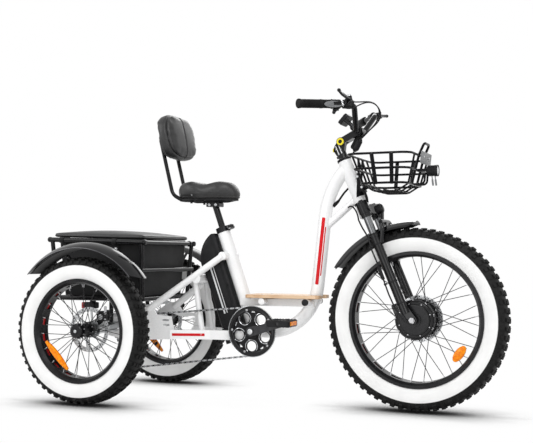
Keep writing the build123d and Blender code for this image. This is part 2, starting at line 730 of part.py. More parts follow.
# Sliding fork legs with dropouts, arch and the front brake caliper
with BuildPart() as fork_lowers:
    for side in (-1, 1):
        rod(steer(leg_offset, side * leg_y, leg_bottom), steer(leg_offset, side * leg_y, leg_top), leg_radius)
        rod(steer(leg_offset, side * leg_y, leg_top - 14), steer(leg_offset, side * leg_y, leg_top), 20)
        with BuildSketch(fork_side.offset(-side * 70)) as dropout:
            with Locations((leg_offset, leg_bottom + 22), (axle_x, axle_z)):
                Circle(16)
            make_hull()
        extrude(dropout.sketch, amount=5, both=True)
    bent_rod([steer(leg_offset + 16, -leg_y, leg_top - 40), steer(arch_offset, -leg_y, -140),
              steer(arch_offset, -leg_y + 12, arch_height), steer(arch_offset, leg_y - 12, arch_height),
              steer(arch_offset, leg_y, -140), steer(leg_offset + 16, leg_y, leg_top - 40)],
             9, [24, 20, 20, 24])
    with BuildSketch(fork_side.offset(-48.5)) as caliper:
        with Locations((axle_x - 66, axle_z + 62)):
            RectangleRounded(40, 52, 8)
    extrude(caliper.sketch, amount=11.5, both=True)
    rod(steer(axle_x - 66, 58, axle_z + 62), steer(leg_offset, leg_y - 6, axle_z + 74), 8)
    rod(steer(axle_x, 42, axle_z), steer(axle_x, 48.6, axle_z), 92, mode=Mode.SUBTRACT)
    for side in (-1, 1):
        rod(steer(leg_offset, side * leg_y, -366), steer(leg_offset, side * leg_y, leg_top + 2),
            stanchion_radius + running_gap, mode=Mode.SUBTRACT)
        rod(steer(axle_x, side * 60, axle_z), steer(axle_x, side * 90, axle_z), axle_radius,
            mode=Mode.SUBTRACT)
save(fork_lowers, "fork_lowers")

with BuildPart() as front_fender:
    fender(at(wheelbase, 0, front_tyre_radius), 378, 362, 54, 89.5, 148.5)
    flat_bar(steer(arch_offset, -14, -118), steer(arch_offset, 14, -118), 16, 14)
    rod(steer(arch_offset, 12 - leg_y, arch_height), steer(arch_offset, leg_y - 12, arch_height), 9,
        mode=Mode.SUBTRACT)
save(front_fender, "front_fender")

# Front axle with its nuts
with BuildPart() as front_axle:
    drum(wheelbase, front_tyre_radius, axle_radius, -92, 92)
    for side in (-1, 1):
        with BuildSketch(Plane(at(wheelbase, side * 75, front_tyre_radius), x_dir=(1, 0, 0),
                               z_dir=(0, side, 0))) as nut:
            RegularPolygon(12, 6)
        extrude(nut.sketch, amount=11)
        drum(wheelbase, front_tyre_radius, axle_radius + 3, side * 55, side * 65)
save(front_axle, "front_axle")

# Round lamp on the fork arch
with BuildPart() as fork_lamp:
    rod(steer(42, 0, -54), steer(70, 0, -54), 21)
    fillet(fork_lamp.edges().filter_by(GeomType.CIRCLE), 6)
    flat_bar(steer(arch_offset, -10, -84), steer(arch_offset, 10, -84), 8, 34)
    rod(steer(arch_offset, 12 - leg_y, arch_height), steer(arch_offset, leg_y - 12, arch_height), 9,
        mode=Mode.SUBTRACT)
save(fork_lamp, "fork_lamp")

# Motor lead clipped along the right fork leg from its top to the axle
lead_y = -leg_y - leg_radius - 6.5
lead_points = [steer(-2, lead_y + 8, -150), steer(-6, lead_y, -200), steer(-4, lead_y - 2, -260),
               steer(-6, lead_y, -320), steer(-8, lead_y - 1, -380), steer(-6, lead_y + 2, -440),
               steer(6, lead_y + 1, -490), steer(28, lead_y + 2, -518)]
with BuildPart() as motor_cable:
    bent_rod(lead_points, 3, [60, 90, 90, 90, 60, 30])
    rod(steer(-4, lead_y - 2, -270), steer(-6, lead_y, -322), 6.5)
save(motor_cable, "motor_cable")

# Stem base clamped on the steerer, with the pivot knuckle
pivot = steer_plane.to_local_coords(at(pivot_x, 0, pivot_z))
with BuildPart() as stem_base:
    rod(steer(0, 0, head_length + headset_height + 0.5), steer(0, 0, steerer_top + 18), 19)
    with BuildSketch(fork_side.offset(-12)) as knuckle:
        with Locations((pivot.X, pivot.Z)):
            Circle(17)
        with Locations((0, steerer_top + 6)):
            Circle(16)
        make_hull()
    extrude(knuckle.sketch, amount=24)
    rod(steer(0, 0, 100), steer(0, 0, steerer_top), steerer_radius, mode=Mode.SUBTRACT)
    drum(pivot_x, pivot_z, 5 + running_gap, -20, 20, mode=Mode.SUBTRACT)
    rod(steer(-24, 0, steerer_top - 10), steer(-17, 0, steerer_top - 10), 5)
    rod(steer(0, 0, steerer_top - 20), steer(0, 0, steerer_top), steerer_radius, mode=Mode.SUBTRACT)
save(stem_base, "stem_base")

# Stem arm from the pivot to the handlebar clamp, with its pivot bolt and ring
with BuildPart() as stem_arm:
    with BuildSketch(side_plane(-21)):
        with Locations((pivot_x, pivot_z), (bar_clamp[0], bar_clamp[2])):
            Circle(13)
        make_hull()
    extrude(amount=-42)
    drum(pivot_x, pivot_z, 17, -21, 21)
    drum(pivot_x, pivot_z, 26, -12.4, 12.4, mode=Mode.SUBTRACT)
    drum(bar_clamp[0], bar_clamp[2], 19, -26, 26)
    drum(bar_clamp[0], bar_clamp[2], bar_radius, -30, 30, mode=Mode.SUBTRACT)
    drum(pivot_x, pivot_z, 5, -22, 22)
    for side in (-1, 1):
        drum(pivot_x, pivot_z, 13, side * 21, side * 24, bore=7)
        drum(pivot_x, pivot_z, 6.5, side * 21, side * 23)
save(stem_arm, "stem_arm")

# Handlebar
bar_half = [(bar_clamp[0], 48, bar_clamp[2]), bar_bend, bar_end]
bar_points = [at(x, -y, z) for x, y, z in reversed(bar_half)] + [at(*p) for p in bar_half]
with BuildPart() as handlebar:
    bent_rod(bar_points, bar_radius, [40, 30, 30, 40])
save(handlebar, "handlebar")

# The right grip's frame: z runs inward along the bar from its end, x points ahead of the bar
grip_run = (at(bar_bend[0], -bar_bend[1], bar_bend[2]) - at(bar_end[0], -bar_end[1], bar_end[2])).normalized()
grip_ahead = Vector(grip_run.Y, -grip_run.X, 0).normalized()
grip_plane = Plane(at(bar_end[0], -bar_end[1], bar_end[2]), x_dir=grip_ahead, z_dir=grip_run)


def grip(x, y, z):
    """A point in the right grip's frame. Its y points down."""
    return grip_plane.from_local_coords(Vector(x, y, z))


with BuildPart() as grips:
    rod(grip(0, 0, -4), grip(0, 0, grip_length), grip_radius)
    mirror(about=Plane.XZ)
    rod(grip(0, 0, 0), grip(0, 0, grip_length), bar_radius, mode=Mode.SUBTRACT)
    left_end = at(*bar_end)
    left_run = Vector(grip_run.X, -grip_run.Y, grip_run.Z)
    rod(left_end + left_run * grip_length, left_end + left_run * throttle_to, grip_radius)
    rod(left_end, left_end + left_run * throttle_to, bar_radius, mode=Mode.SUBTRACT)
save(grips, "grips")

with BuildPart() as throttle_sleeve:
    rod(grip(0, 0, throttle_from), grip(0, 0, throttle_to), grip_radius, bore=bar_radius + running_gap)
save(throttle_sleeve, "throttle_sleeve")


def lever_frame(tilt):
    """The right grip's frame turned about the bar, so that its x points ahead and up by tilt degrees."""
    ahead = grip_ahead * cos(radians(tilt)) - grip_plane.y_dir * sin(radians(tilt))
    return Plane(grip(0, 0, 0), x_dir=ahead, z_dir=grip_run)


def slab(frame, centre, length, width, height):
    """A box square to a frame, into the part being built."""
    with Locations(Plane(frame.from_local_coords(Vector(*centre)), x_dir=frame.x_dir, z_dir=frame.z_dir)):
        Box(length, width, height)


def perch(frame):
    """A brake lever perch with its lugs, pivot pin and cable stop, into the part being built."""
    def local(x, y, z):
        return frame.from_local_coords(Vector(x, y, z))

    rod(local(0, 0, perch_at - 13), local(0, 0, perch_at + 13), 17)
    slab(frame, (13, 0, perch_at), 16, 26, 22)
    for y in (-10.5, 10.5):
        slab(frame, (24, y, perch_at), 16, 5, 18)
        rod(local(pivot_ahead, y - 2.5, perch_at), local(pivot_ahead, y + 2.5, perch_at), 9)
    rod(local(pivot_ahead, -12, perch_at), local(pivot_ahead, 12, perch_at), 3)
    rod(local(17, 0, perch_at + 9), local(17, 0, perch_at + 24), 5)


def brake_lever(frame, reach):
    """A brake lever blade with a ball end, reaching outward along the bar from its perch's pin."""
    blade_side = Plane(frame.origin, x_dir=frame.x_dir, z_dir=-frame.y_dir)
    bends = [(pivot_ahead + ahead, perch_at - share * reach)
             for ahead, share in ((0, 0), (15, 0.29), (38, 0.69), (62, 1))]
    with BuildPart() as piece:
        for i in range(3):
            with BuildSketch(blade_side) as blade:
                with Locations(bends[i], bends[i + 1]):
                    Circle(4.5)
                make_hull()
            extrude(blade.sketch, amount=5, both=True)
        rod(frame.from_local_coords(Vector(pivot_ahead, -6.5, perch_at)),
            frame.from_local_coords(Vector(pivot_ahead, 6.5, perch_at)), 8)
        with Locations(frame.from_local_coords(Vector(bends[3][0], 0, bends[3][1]))):
            Sphere(7)
        rod(frame.from_local_coords(Vector(pivot_ahead, -12, perch_at)),
            frame.from_local_coords(Vector(pivot_ahead, 12, perch_at)), 3 + running_gap, mode=Mode.SUBTRACT)
    return piece


# Brake perches near the bends, and the thumb shifter's barrel on the right
right_frame = lever_frame(right_lever_tilt)
left_frame = lever_frame(left_lever_tilt)
with BuildPart() as control_clamps:
    perch(left_frame)
    mirror(control_clamps.part, about=Plane.XZ, mode=Mode.REPLACE)
    perch(right_frame)
    rod(grip(0, 0, shifter_at - 22), grip(0, 0, shifter_at + 20), 18.5)
    round_edges = control_clamps.edges().filter_by(GeomType.CIRCLE)
    chamfer(round_edges.filter_by(lambda edge: abs(edge.radius - 18.5) < 0.1), 4)
    rod(grip(0, 0, shifter_at - 30), grip(0, 0, perch_at + 40), bar_radius, mode=Mode.SUBTRACT)
    add(handlebar.part, mode=Mode.SUBTRACT)
save(control_clamps, "control_clamps")

# Brake levers
save(brake_lever(right_frame, right_blade_reach), "right_brake_lever")
save(mirrored(brake_lever(left_frame, left_blade_reach)), "left_brake_lever")

# Thumb shift lever under the shifter's barrel
with BuildPart() as shift_lever:
    rod(grip(0, 19, shifter_at), grip(0, 25, shifter_at), 12)
    flat_bar(grip(0, 23, shifter_at), grip(10, 32, shifter_at - 16), 12, 5)
    rod(grip(2, 32, shifter_at - 10), grip(20, 34, shifter_at - 22), 6.5)
save(shift_lever, "shift_lever")

# Display on a bracket above the bar clamp
display_lean = 48
display_plane = Plane(at(986, 0, 1132), x_dir=(0, 1, 0),
                      z_dir=(-sin(radians(display_lean)), 0, cos(radians(display_lean))))
with BuildPart() as display:
    with BuildSketch(display_plane):
        RectangleRounded(78, 48, 8)
    extrude(amount=8, both=True)
    fillet(display.edges().filter_by(GeomType.LINE).group_by(Edge.length)[-1], 2)
    for side in (-1, 1):
        rod(at(989, side * 33, 1129), at(bar_clamp[0], side * 33, bar_clamp[2]), 5)
        drum(bar_clamp[0], bar_clamp[2], 16, side * 29, side * 37)
    add(handlebar.part, mode=Mode.SUBTRACT)
save(display, "display")

# Control cables from the levers and shifter, gathered in a sleeve under the stem
cable_radius = 2.5
sleeve_foot = at(1021, 0, 1006)
sleeve_top = at(1047, 0, 1056)
sleeve_run = (sleeve_top - sleeve_foot).normalized()


def curved_cable(points):
    """A cable along a smooth curve through the points, into the part being built."""
    with BuildLine() as path:
        Spline(*points)
    with BuildSketch(Plane(path.line @ 0, z_dir=path.line % 0)) as section:
        Circle(cable_radius)
    sweep(section.sketch, path=path.line)


def cable_stop(frame, side, run_on):
    """A point straight on from a perch's cable stop, on the right (-1) or left (1)."""
    point = frame.from_local_coords(Vector(17, 0, perch_at + 24 + run_on))
    return Vector(point.X, -side * point.Y, point.Z)


def into_sleeve(y):
    """The end of a cable inside the top of the sleeve."""
    return sleeve_top - sleeve_run * 4 + Vector(0, y, 0)


with BuildPart() as control_cables:
    sleeve_plane = Plane(sleeve_foot, x_dir=(0, 1, 0), z_dir=Vector(0, 1, 0).cross(sleeve_run))
    with BuildSketch(sleeve_plane) as sleeve:
        with BuildLine():
            Polyline((0, 0), (6, 0), (13.5, 11), (13.5, 45), (8, 56), (0, 56), close=True)
        make_face()
    revolve(sleeve.sketch, axis=Axis(sleeve_foot, sleeve_run))
    curved_cable([cable_stop(right_frame, -1, 0), cable_stop(right_frame, -1, 24), at(1122, -86, 1180),
                  at(1130, -24, 1148), at(1104, -9, 1104), at(1068, -7, 1072), into_sleeve(-5)])
    curved_cable([cable_stop(left_frame, 1, 0), cable_stop(left_frame, 1, 16), at(1102, 84, 1168),
                  at(1110, 38, 1138), at(1094, 12, 1103), at(1066, 8, 1073), into_sleeve(5)])
    curved_cable([grip(10, 10, shifter_at + 20), grip(22, 18, perch_at + 6), grip(34, 4, perch_at + 44),
                  at(1136, -64, 1166), at(1126, -4, 1128), at(1074, 0, 1079), into_sleeve(0)])
    add(control_clamps.part, mode=Mode.SUBTRACT)
save(control_cables, "control_cables")


def tyre(centre, radius, rim_edge):
    """A fat tyre: a hollow ring with bulged walls and a rounded tread."""
    bead = rim_half_width - 3.5
    foot = rim_edge - 8.5
    bulge = rim_edge + 0.47 * (radius - rim_edge)
    wall = 5.5
    with BuildPart() as piece:
        with BuildSketch(Plane(centre, x_dir=(0, 1, 0), z_dir=(1, 0, 0))):
            with BuildLine():
                Polyline((-bead + wall, rim_edge + 1), (-bead + wall, foot), (-bead, foot),
                         (-bead, rim_edge + 1))
                ThreePointArc((-bead, rim_edge + 1), (-tyre_half_width, bulge), (-41, radius - 14))
                ThreePointArc((-41, radius - 14), (0, radius), (41, radius - 14))
                ThreePointArc((41, radius - 14), (tyre_half_width, bulge), (bead, rim_edge + 1))
                Polyline((bead, rim_edge + 1), (bead, foot), (bead - wall, foot), (bead - wall, rim_edge + 1))
                ThreePointArc((bead - wall, rim_edge + 1), (tyre_half_width - wall, bulge), (36, radius - 19))
                ThreePointArc((36, radius - 19), (0, radius - 8), (-36, radius - 19))
                ThreePointArc((-36, radius - 19), (wall - tyre_half_width, bulge),
                              (-bead + wall, rim_edge + 1))
            make_face()
        revolve(axis=Axis(centre, (0, 1, 0)))
    return piece


def laced_rim(centre, rim_edge, flange_radius, flange_half_gap, flange_middle):
    """A rim with cut-outs in its bed, and 36 crossed spokes from the hub flanges."""
    spoke_radius = 1.4
    spoke_row = 17
    bed = rim_edge - 21
    spokes = []
    for side in (-1, 1):
        for lean in (-1, 1):
            rim_angle = radians(5 * side + 10 * lean)
            foot_angle = rim_angle - radians(28 * lean)
            foot_y = flange_middle + side * flange_half_gap + 3.8 * lean
            foot = Vector(flange_radius * cos(foot_angle), flange_radius * sin(foot_angle), -foot_y)
            rim_end = Vector(bed * cos(rim_angle), bed * sin(rim_angle), -side * spoke_row)
            with BuildPart() as spoke:
                rod(foot, rim_end, spoke_radius)
                with Locations((0, 0, -100)):
                    Cylinder(bed - 0.06, 400, mode=Mode.INTERSECT)
            spokes.append(spoke.part)
    with BuildPart(Plane(centre, x_dir=(1, 0, 0), z_dir=(0, -1, 0))) as piece:
        with BuildSketch(Plane(centre, x_dir=(0, 1, 0), z_dir=(1, 0, 0))):
            with BuildLine():
                Polyline((40, rim_edge), (37, rim_edge), (37, rim_edge - 9), (28, rim_edge - 9),
                         (24, rim_edge - 16), (-24, rim_edge - 16), (-28, rim_edge - 9), (-37, rim_edge - 9),
                         (-37, rim_edge), (-40, rim_edge), (-40, rim_edge - 12), (-27, bed), (27, bed),
                         (40, rim_edge - 12), close=True)
            make_face()
        revolve(axis=Axis(centre, (0, 1, 0)))
        with PolarLocations(bed, 18, start_angle=10):
            Box(30, 0.24 * bed * pi / 9 * 2, 20, mode=Mode.SUBTRACT)
        for spoke in spokes:
            with PolarLocations(0, 9):
                add(spoke)
    return piece


# Wheels: tyres and laced rims
front_centre = at(wheelbase, 0, front_tyre_radius)
right_centre = at(0, -half_track, rear_tyre_radius)
motor_flange_y = 29
motor_middle = -4
hub_flange_y = 30
save(tyre(front_centre, front_tyre_radius, front_rim_edge), "front_tyre")
save(laced_rim(front_centre, front_rim_edge, 75.5, motor_flange_y, motor_middle), "front_rim")
right_rear_tyre = tyre(right_centre, rear_tyre_radius, rear_rim_edge)
save(right_rear_tyre, "right_rear_tyre")
save(mirrored(right_rear_tyre), "left_rear_tyre")
right_rear_rim = laced_rim(right_centre, rear_rim_edge, 29, hub_flange_y, 0)
save(right_rear_rim, "right_rear_rim")
save(mirrored(right_rear_rim), "left_rear_rim")


def rotor(x, z, y_from, y_to, inner):
    """A brake disc with a ring of holes, into the part being built."""
    drum(x, z, 90, y_from, y_to, bore=74)
    drum(x, z, inner, y_from, y_to)
    for k in range(6):
        angle = radians(60 * k)
        lean = radians(60 * k + 24)
        flat_bar(at(x + (inner - 4) * cos(angle), (y_from + y_to) / 2, z + (inner - 4) * sin(angle)),
                 at(x + 78 * cos(lean), (y_from + y_to) / 2, z + 78 * sin(lean)), abs(y_to - y_from), 9)


# Hub motor with its spoke flanges, raised cover and brake disc
with BuildPart() as hub_motor:
    drum(wheelbase, front_tyre_radius, 71.5, -40, 34)
    chamfer(hub_motor.edges().filter_by(GeomType.CIRCLE), 5)
    for side in (-1, 1):
        flange = motor_middle + side * motor_flange_y
        drum(wheelbase, front_tyre_radius, 77.5, flange - 1.2, flange + 1.2)
    drum(wheelbase, front_tyre_radius, 58, -47, -40)
    drum(wheelbase, front_tyre_radius, 26, -52, -47)
    drum(wheelbase, front_tyre_radius, 34, 34, 46.8)
    rotor(wheelbase, front_tyre_radius, 44.3, 46.8, 36)
    drum(wheelbase, front_tyre_radius, axle_radius + running_gap, -60, 60, mode=Mode.SUBTRACT)
save(hub_motor, "hub_motor")

# Rear hubs, each with its half axle and brake disc
with BuildPart() as right_rear_hub:
    drum(0, rear_tyre_radius, half_axle_radius, -half_track - 44, -60)
    drum(0, rear_tyre_radius, 21, -half_track - 40, -rotor_y - 4)
    drum(0, rear_tyre_radius, 25, -half_track - 52, -half_track - 38)
    chamfer(right_rear_hub.edges().sort_by(Axis.Y)[0], 5)
    for side in (-1, 1):
        flange = -half_track + side * hub_flange_y
        drum(0, rear_tyre_radius, 31.5, flange - 1.2, flange + 1.2)
    drum(0, rear_tyre_radius, 28, -rotor_y - 10, -rotor_y + 1.2)
    rotor(0, rear_tyre_radius, -rotor_y - 1.2, -rotor_y + 1.2, 32)
save(right_rear_hub, "right_rear_hub")
save(mirrored(right_rear_hub), "left_rear_hub")


# Cranks: spindle, two arms and the pedal pins
def crank_arm(side):
    """One crank arm with its pedal pin, into the part being built."""
    turn = radians(arm_angle if side < 0 else arm_angle + 180)
    pedal_x = crank_x + arm_length * cos(turn)
    pedal_z = crank_z + arm_length * sin(turn)
    with BuildSketch(side_plane(side * arm_y)) as arm:
        with Locations((crank_x, crank_z)):
            Circle(19)
        with Locations((pedal_x, pedal_z)):
            Circle(13)
        make_hull()
    extrude(arm.sketch, amount=-side * arm_thickness)
    drum(crank_x, crank_z, 15, side * (arm_y + arm_thickness), side * (arm_y + arm_thickness + 3))
    drum(pedal_x, pedal_z, 7, side * (arm_y + arm_thickness), side * (pedal_outer_y - 4))
    drum(pedal_x, pedal_z, 10, side * (arm_y + arm_thickness), side * (pedal_inner_y - 0.5))


with BuildPart() as crank_set:
    drum(crank_x, crank_z, spindle_radius, -arm_y, arm_y)
    crank_arm(-1)
    crank_arm(1)
save(crank_set, "crank_set")

# Chainring with its spider and the outer guard
ring_radius = chainring_pitch - chain_height / 2 - 0.4
with BuildPart() as chainring:
    with BuildSketch(side_plane(chain_y - 1.5)):
        with Locations((crank_x, crank_z)):
            Circle(ring_radius)
            Circle(20, mode=Mode.SUBTRACT)
            with PolarLocations(60, 5, start_angle=arm_angle + 36):
                Circle(24, mode=Mode.SUBTRACT)
            with PolarLocations(80, 5, start_angle=arm_angle):
                RegularPolygon(7, 3, mode=Mode.SUBTRACT)
    extrude(amount=-3)
    drum(crank_x, crank_z, 103, chain_y - 8, chain_y - 5, bore=82)
    with BuildSketch(side_plane(chain_y - 5)) as spacers:
        with Locations((crank_x, crank_z)):
            with PolarLocations(87, 5, start_angle=arm_angle + 18):
                Circle(4)
    extrude(spacers.sketch, amount=-4)
    drum(crank_x, crank_z, 32, chain_y - 9.9, chain_y + 12, bore=spindle_radius)
save(chainring, "chainring")


# Pedals: open cages on the crank pins
def pedal(side):
    """A pedal with its bearing tube and open cage."""
    turn = radians(arm_angle if side < 0 else arm_angle + 180)
    centre = at(crank_x + arm_length * cos(turn), side * (pedal_inner_y + pedal_outer_y) / 2,
                crank_z + arm_length * sin(turn))
    width = pedal_outer_y - pedal_inner_y
    with BuildPart() as piece:
        block(centre, pedal_length, width, pedal_height)
        fillet(piece.edges().filter_by(Axis.Z), 10)
        fillet(piece.edges().filter_by(Axis.Y), 5)
        for step in (-1, 1):
            block(centre + Vector(step * 27, 0, 0), 28, width - 24, 60, mode=Mode.SUBTRACT)
        block(centre, pedal_length - 30, width - 24, 60, mode=Mode.SUBTRACT)
        with Locations(centre):
            Cylinder(12, width - 2, rotation=(90, 0, 0))
            Cylinder(7 + running_gap, width + 10, rotation=(90, 0, 0), mode=Mode.SUBTRACT)
    return piece


save(pedal(-1), "right_pedal")
save(pedal(1), "left_pedal")

# Cassette of seven sprockets that turns on the axle housing
sprocket_radii = [cassette_pitch * teeth / 20 for teeth in (34, 30, 26, 23, 20, 17, 14)]
with BuildPart() as cassette:
    for i, pitch in enumerate(sprocket_radii):
        y = chain_y + (4 - i) * sprocket_step
        drum(0, rear_tyre_radius, pitch - chain_height / 2 - 0.4, y - 1, y + 1)
    drum(0, rear_tyre_radius, 25.4, chain_y - 2.8 * sprocket_step, chain_y + 4.6 * sprocket_step)
    drum(0, rear_tyre_radius, housing_radius + running_gap, -110, -39, mode=Mode.SUBTRACT)
save(cassette, "cassette")
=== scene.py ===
import math
from math import cos, pi, radians, sin

import bmesh
import bpy
from mathutils import Matrix, Vector
from mathutils.geometry import tessellate_polygon


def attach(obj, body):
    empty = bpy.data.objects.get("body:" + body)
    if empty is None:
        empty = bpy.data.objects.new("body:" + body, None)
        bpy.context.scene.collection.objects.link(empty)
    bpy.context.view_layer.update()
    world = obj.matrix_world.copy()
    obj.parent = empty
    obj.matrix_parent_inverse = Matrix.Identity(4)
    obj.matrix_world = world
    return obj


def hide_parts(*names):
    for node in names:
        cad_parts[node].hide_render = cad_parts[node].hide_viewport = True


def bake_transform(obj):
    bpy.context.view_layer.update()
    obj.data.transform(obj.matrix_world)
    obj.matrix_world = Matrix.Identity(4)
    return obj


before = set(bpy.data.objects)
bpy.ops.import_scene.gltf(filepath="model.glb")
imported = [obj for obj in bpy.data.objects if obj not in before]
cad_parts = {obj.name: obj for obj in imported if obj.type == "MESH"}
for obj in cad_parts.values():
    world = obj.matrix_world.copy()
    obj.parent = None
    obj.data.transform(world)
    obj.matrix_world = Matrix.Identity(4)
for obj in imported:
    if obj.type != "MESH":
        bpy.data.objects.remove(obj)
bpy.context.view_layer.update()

# The object's own measures in millimetres. Each x is measured forward from the rear axle.
REAR_AXLE_X = -663.75
SIDES = ((-1, "right"), (1, "left"))
WHEELBASE, HALF_TRACK = 1270, 360
FRONT_R, REAR_R = 351, 293.5
FRONT_RIM, REAR_RIM = 260.5, 207.5
FRONT_WHITE, REAR_WHITE = 312, 261
HEAD_X, HEAD_Z, HEAD_LEAN = 1049, 804, radians(22.3)
SEAT_X, SEAT_Z, SEAT_LEAN = 477, 620, radians(19.5)
CRANK_X, CRANK_Z = 614, 289
CHAIN_Y = -70


def at(x, y, z):
    """A point in the row frame, in metres."""
    return Vector(((x + REAR_AXLE_X) / 1000, y / 1000, z / 1000))


def leaning(x, z, lean):
    """The frame of an axis that leans back, as a matrix from its own millimetres to the row frame."""
    along = Vector((cos(lean), 0, sin(lean)))
    up = Vector((-sin(lean), 0, cos(lean)))
    turn = Matrix((along, Vector((0, 1, 0)), up)).transposed().to_4x4()
    return Matrix.Translation(at(x, 0, z)) @ turn @ Matrix.Scale(0.001, 4)


def axes(lean_frame):
    """The unit vectors up along a leaning axis and ahead of it."""
    turn = lean_frame.to_3x3()
    return (turn @ Vector((0, 0, 1))).normalized(), (turn @ Vector((1, 0, 0))).normalized()


STEER = leaning(HEAD_X, HEAD_Z, HEAD_LEAN)
SEAT = leaning(SEAT_X, SEAT_Z, SEAT_LEAN)
steer_up, steer_ahead = axes(STEER)
seat_up, seat_ahead = axes(SEAT)


def steer(x, y, z):
    return STEER @ Vector((x, y, z))


def seat(x, y, z):
    return SEAT @ Vector((x, y, z))


# Right grip frame: x ahead of the bar, y down, z inward along the bar from its end
grip_end = at(914, -338, 1152)
grip_run = (at(1067, -148, 1168) - grip_end).normalized()
grip_ahead = Vector((grip_run.y, -grip_run.x, 0)).normalized()
grip_down = grip_run.cross(grip_ahead)


def grip(x, y, z):
    return grip_end + (grip_ahead * x + grip_down * y + grip_run * z) / 1000


# Materials
def new_material(name):
    mat = bpy.data.materials.new(name)
    mat.use_nodes = True
    shader = mat.node_tree.nodes["Principled BSDF"]
    return mat, mat.node_tree, shader


def add_node(tree, kind, **values):
    node = tree.nodes.new(kind)
    for key, value in values.items():
        if hasattr(node, key):
            setattr(node, key, value)
        else:
            node.inputs[key.replace("_", " ")].default_value = value
    return node


def ramp(tree, source, stops):
    """A colour ramp fed by source: stops are (position, colour or grey)."""
    node = tree.nodes.new("ShaderNodeValToRGB")
    tree.links.new(source, node.inputs["Fac"])
    elements = node.color_ramp.elements
    while len(elements) < len(stops):
        elements.new(0.5)
    for element, (position, colour) in zip(elements, stops):
        element.position = position
        element.color = (colour, colour, colour, 1) if isinstance(colour, (int, float)) else (*colour, 1)
    return node.outputs["Color"]


def object_coords(tree, scale=(1, 1, 1)):
    coords = tree.nodes.new("ShaderNodeTexCoord")
    mapping = tree.nodes.new("ShaderNodeMapping")
    mapping.inputs["Scale"].default_value = scale
    tree.links.new(coords.outputs["Object"], mapping.inputs["Vector"])
    return mapping.outputs["Vector"]


def noise(tree, scale, detail=3.0, stretch=(1, 1, 1)):
    node = tree.nodes.new("ShaderNodeTexNoise")
    node.inputs["Scale"].default_value = scale
    node.inputs["Detail"].default_value = detail
    tree.links.new(object_coords(tree, stretch), node.inputs["Vector"])
    return node.outputs["Fac"]


def bump(tree, shader, height, strength, distance):
    node = tree.nodes.new("ShaderNodeBump")
    node.inputs["Strength"].default_value = strength
    node.inputs["Distance"].default_value = distance
    tree.links.new(height, node.inputs["Height"])
    tree.links.new(node.outputs["Normal"], shader.inputs["Normal"])


def surface(name, dark, light, rough, metal=0.0, grain=60, depth=0.0, fine=400, coat=0.0, rough_spread=0.08,
            stretch=(1, 1, 1), specular=0.5):
    """A material with colour and roughness that vary a little over the surface, and a fine bump."""
    mat, tree, shader = new_material(name)
    broad = noise(tree, grain, 4, stretch)
    tree.links.new(ramp(tree, broad, [(0.3, dark), (0.7, light)]), shader.inputs["Base Color"])
    small = noise(tree, fine, 2, stretch)
    low, high = max(rough - rough_spread, 0.02), min(rough + rough_spread, 1)
    tree.links.new(ramp(tree, small, [(0.3, low), (0.7, high)]), shader.inputs["Roughness"])
    shader.inputs["Metallic"].default_value = metal
    shader.inputs["Specular IOR Level"].default_value = specular
    shader.inputs["Coat Weight"].default_value = coat
    shader.inputs["Coat Roughness"].default_value = 0.08
    if depth:
        bump(tree, shader, small, 0.5, depth)
    return mat


white_paint = surface("white_paint", (0.85, 0.855, 0.86), (0.89, 0.89, 0.89), 0.3, grain=9, fine=260,
                      depth=0.00008, coat=0.5)
black_paint = surface("black_paint", (0.004, 0.004, 0.0045), (0.008, 0.008, 0.009), 0.17, grain=30, fine=900,
                      depth=0.00004, specular=0.2, rough_spread=0.04)
gloss_black = surface("gloss_black", (0.003, 0.003, 0.0035), (0.007, 0.007, 0.008), 0.15, grain=14, fine=300,
                      depth=0.00004, specular=0.32, rough_spread=0.04)
black_plastic = surface("black_plastic", (0.005, 0.005, 0.006), (0.011, 0.011, 0.012), 0.45, grain=40,
                        fine=1600, depth=0.00012, specular=0.2)
rubber = surface("rubber", (0.005, 0.005, 0.005), (0.011, 0.011, 0.011), 0.62, grain=50, fine=1200,
                 depth=0.00015, specular=0.16)
chrome = surface("chrome", (0.62, 0.63, 0.65), (0.72, 0.73, 0.75), 0.12, metal=1.0, grain=20, fine=500,
                 rough_spread=0.04)
steel = surface("steel", (0.36, 0.36, 0.37), (0.5, 0.5, 0.51), 0.34, metal=1.0, grain=60, fine=900,
                depth=0.00005)
alloy = surface("alloy", (0.5, 0.51, 0.52), (0.62, 0.63, 0.64), 0.32, metal=1.0, grain=30, fine=800,
                depth=0.00004)
dark_alloy = surface("dark_alloy", (0.006, 0.006, 0.007), (0.014, 0.014, 0.015), 0.3, metal=0.3, grain=40,
                     fine=900, depth=0.00005, specular=0.3)
basket_wire = surface("basket_wire", (0.003, 0.003, 0.0035), (0.006, 0.006, 0.007), 0.2, grain=40, fine=900,
                      depth=0.00005, specular=0.1, rough_spread=0.05)
crank_alloy = surface("crank_alloy", (0.03, 0.03, 0.032), (0.055, 0.055, 0.058), 0.24, metal=0.6, grain=50,
                      fine=800, depth=0.00004, specular=0.4)
# Stanchion chrome with its colour lowered: a painted dark reflection
stanchion_painted_reflection = surface("stanchion_painted_reflection", (0.15, 0.155, 0.16), (0.22, 0.225, 0.23), 0.14, metal=1.0,
                          grain=24, fine=600, rough_spread=0.04)
red_plastic = surface("red_plastic", (0.42, 0.01, 0.012), (0.55, 0.016, 0.018), 0.22, grain=40, fine=600,
                      coat=0.4)
amber_plastic = surface("amber_plastic", (0.74, 0.13, 0.0), (1.0, 0.36, 0.0), 0.2, grain=120, fine=500,
                        depth=0.0002, specular=0.25)
yellow_metal = surface("yellow_metal", (0.82, 0.66, 0.012), (0.92, 0.78, 0.03), 0.3, metal=0.2, grain=60,
                       fine=700)
grey_plastic = surface("grey_plastic", (0.15, 0.155, 0.16), (0.22, 0.225, 0.23), 0.4, grain=40, fine=900,
                       depth=0.0001, specular=0.3)
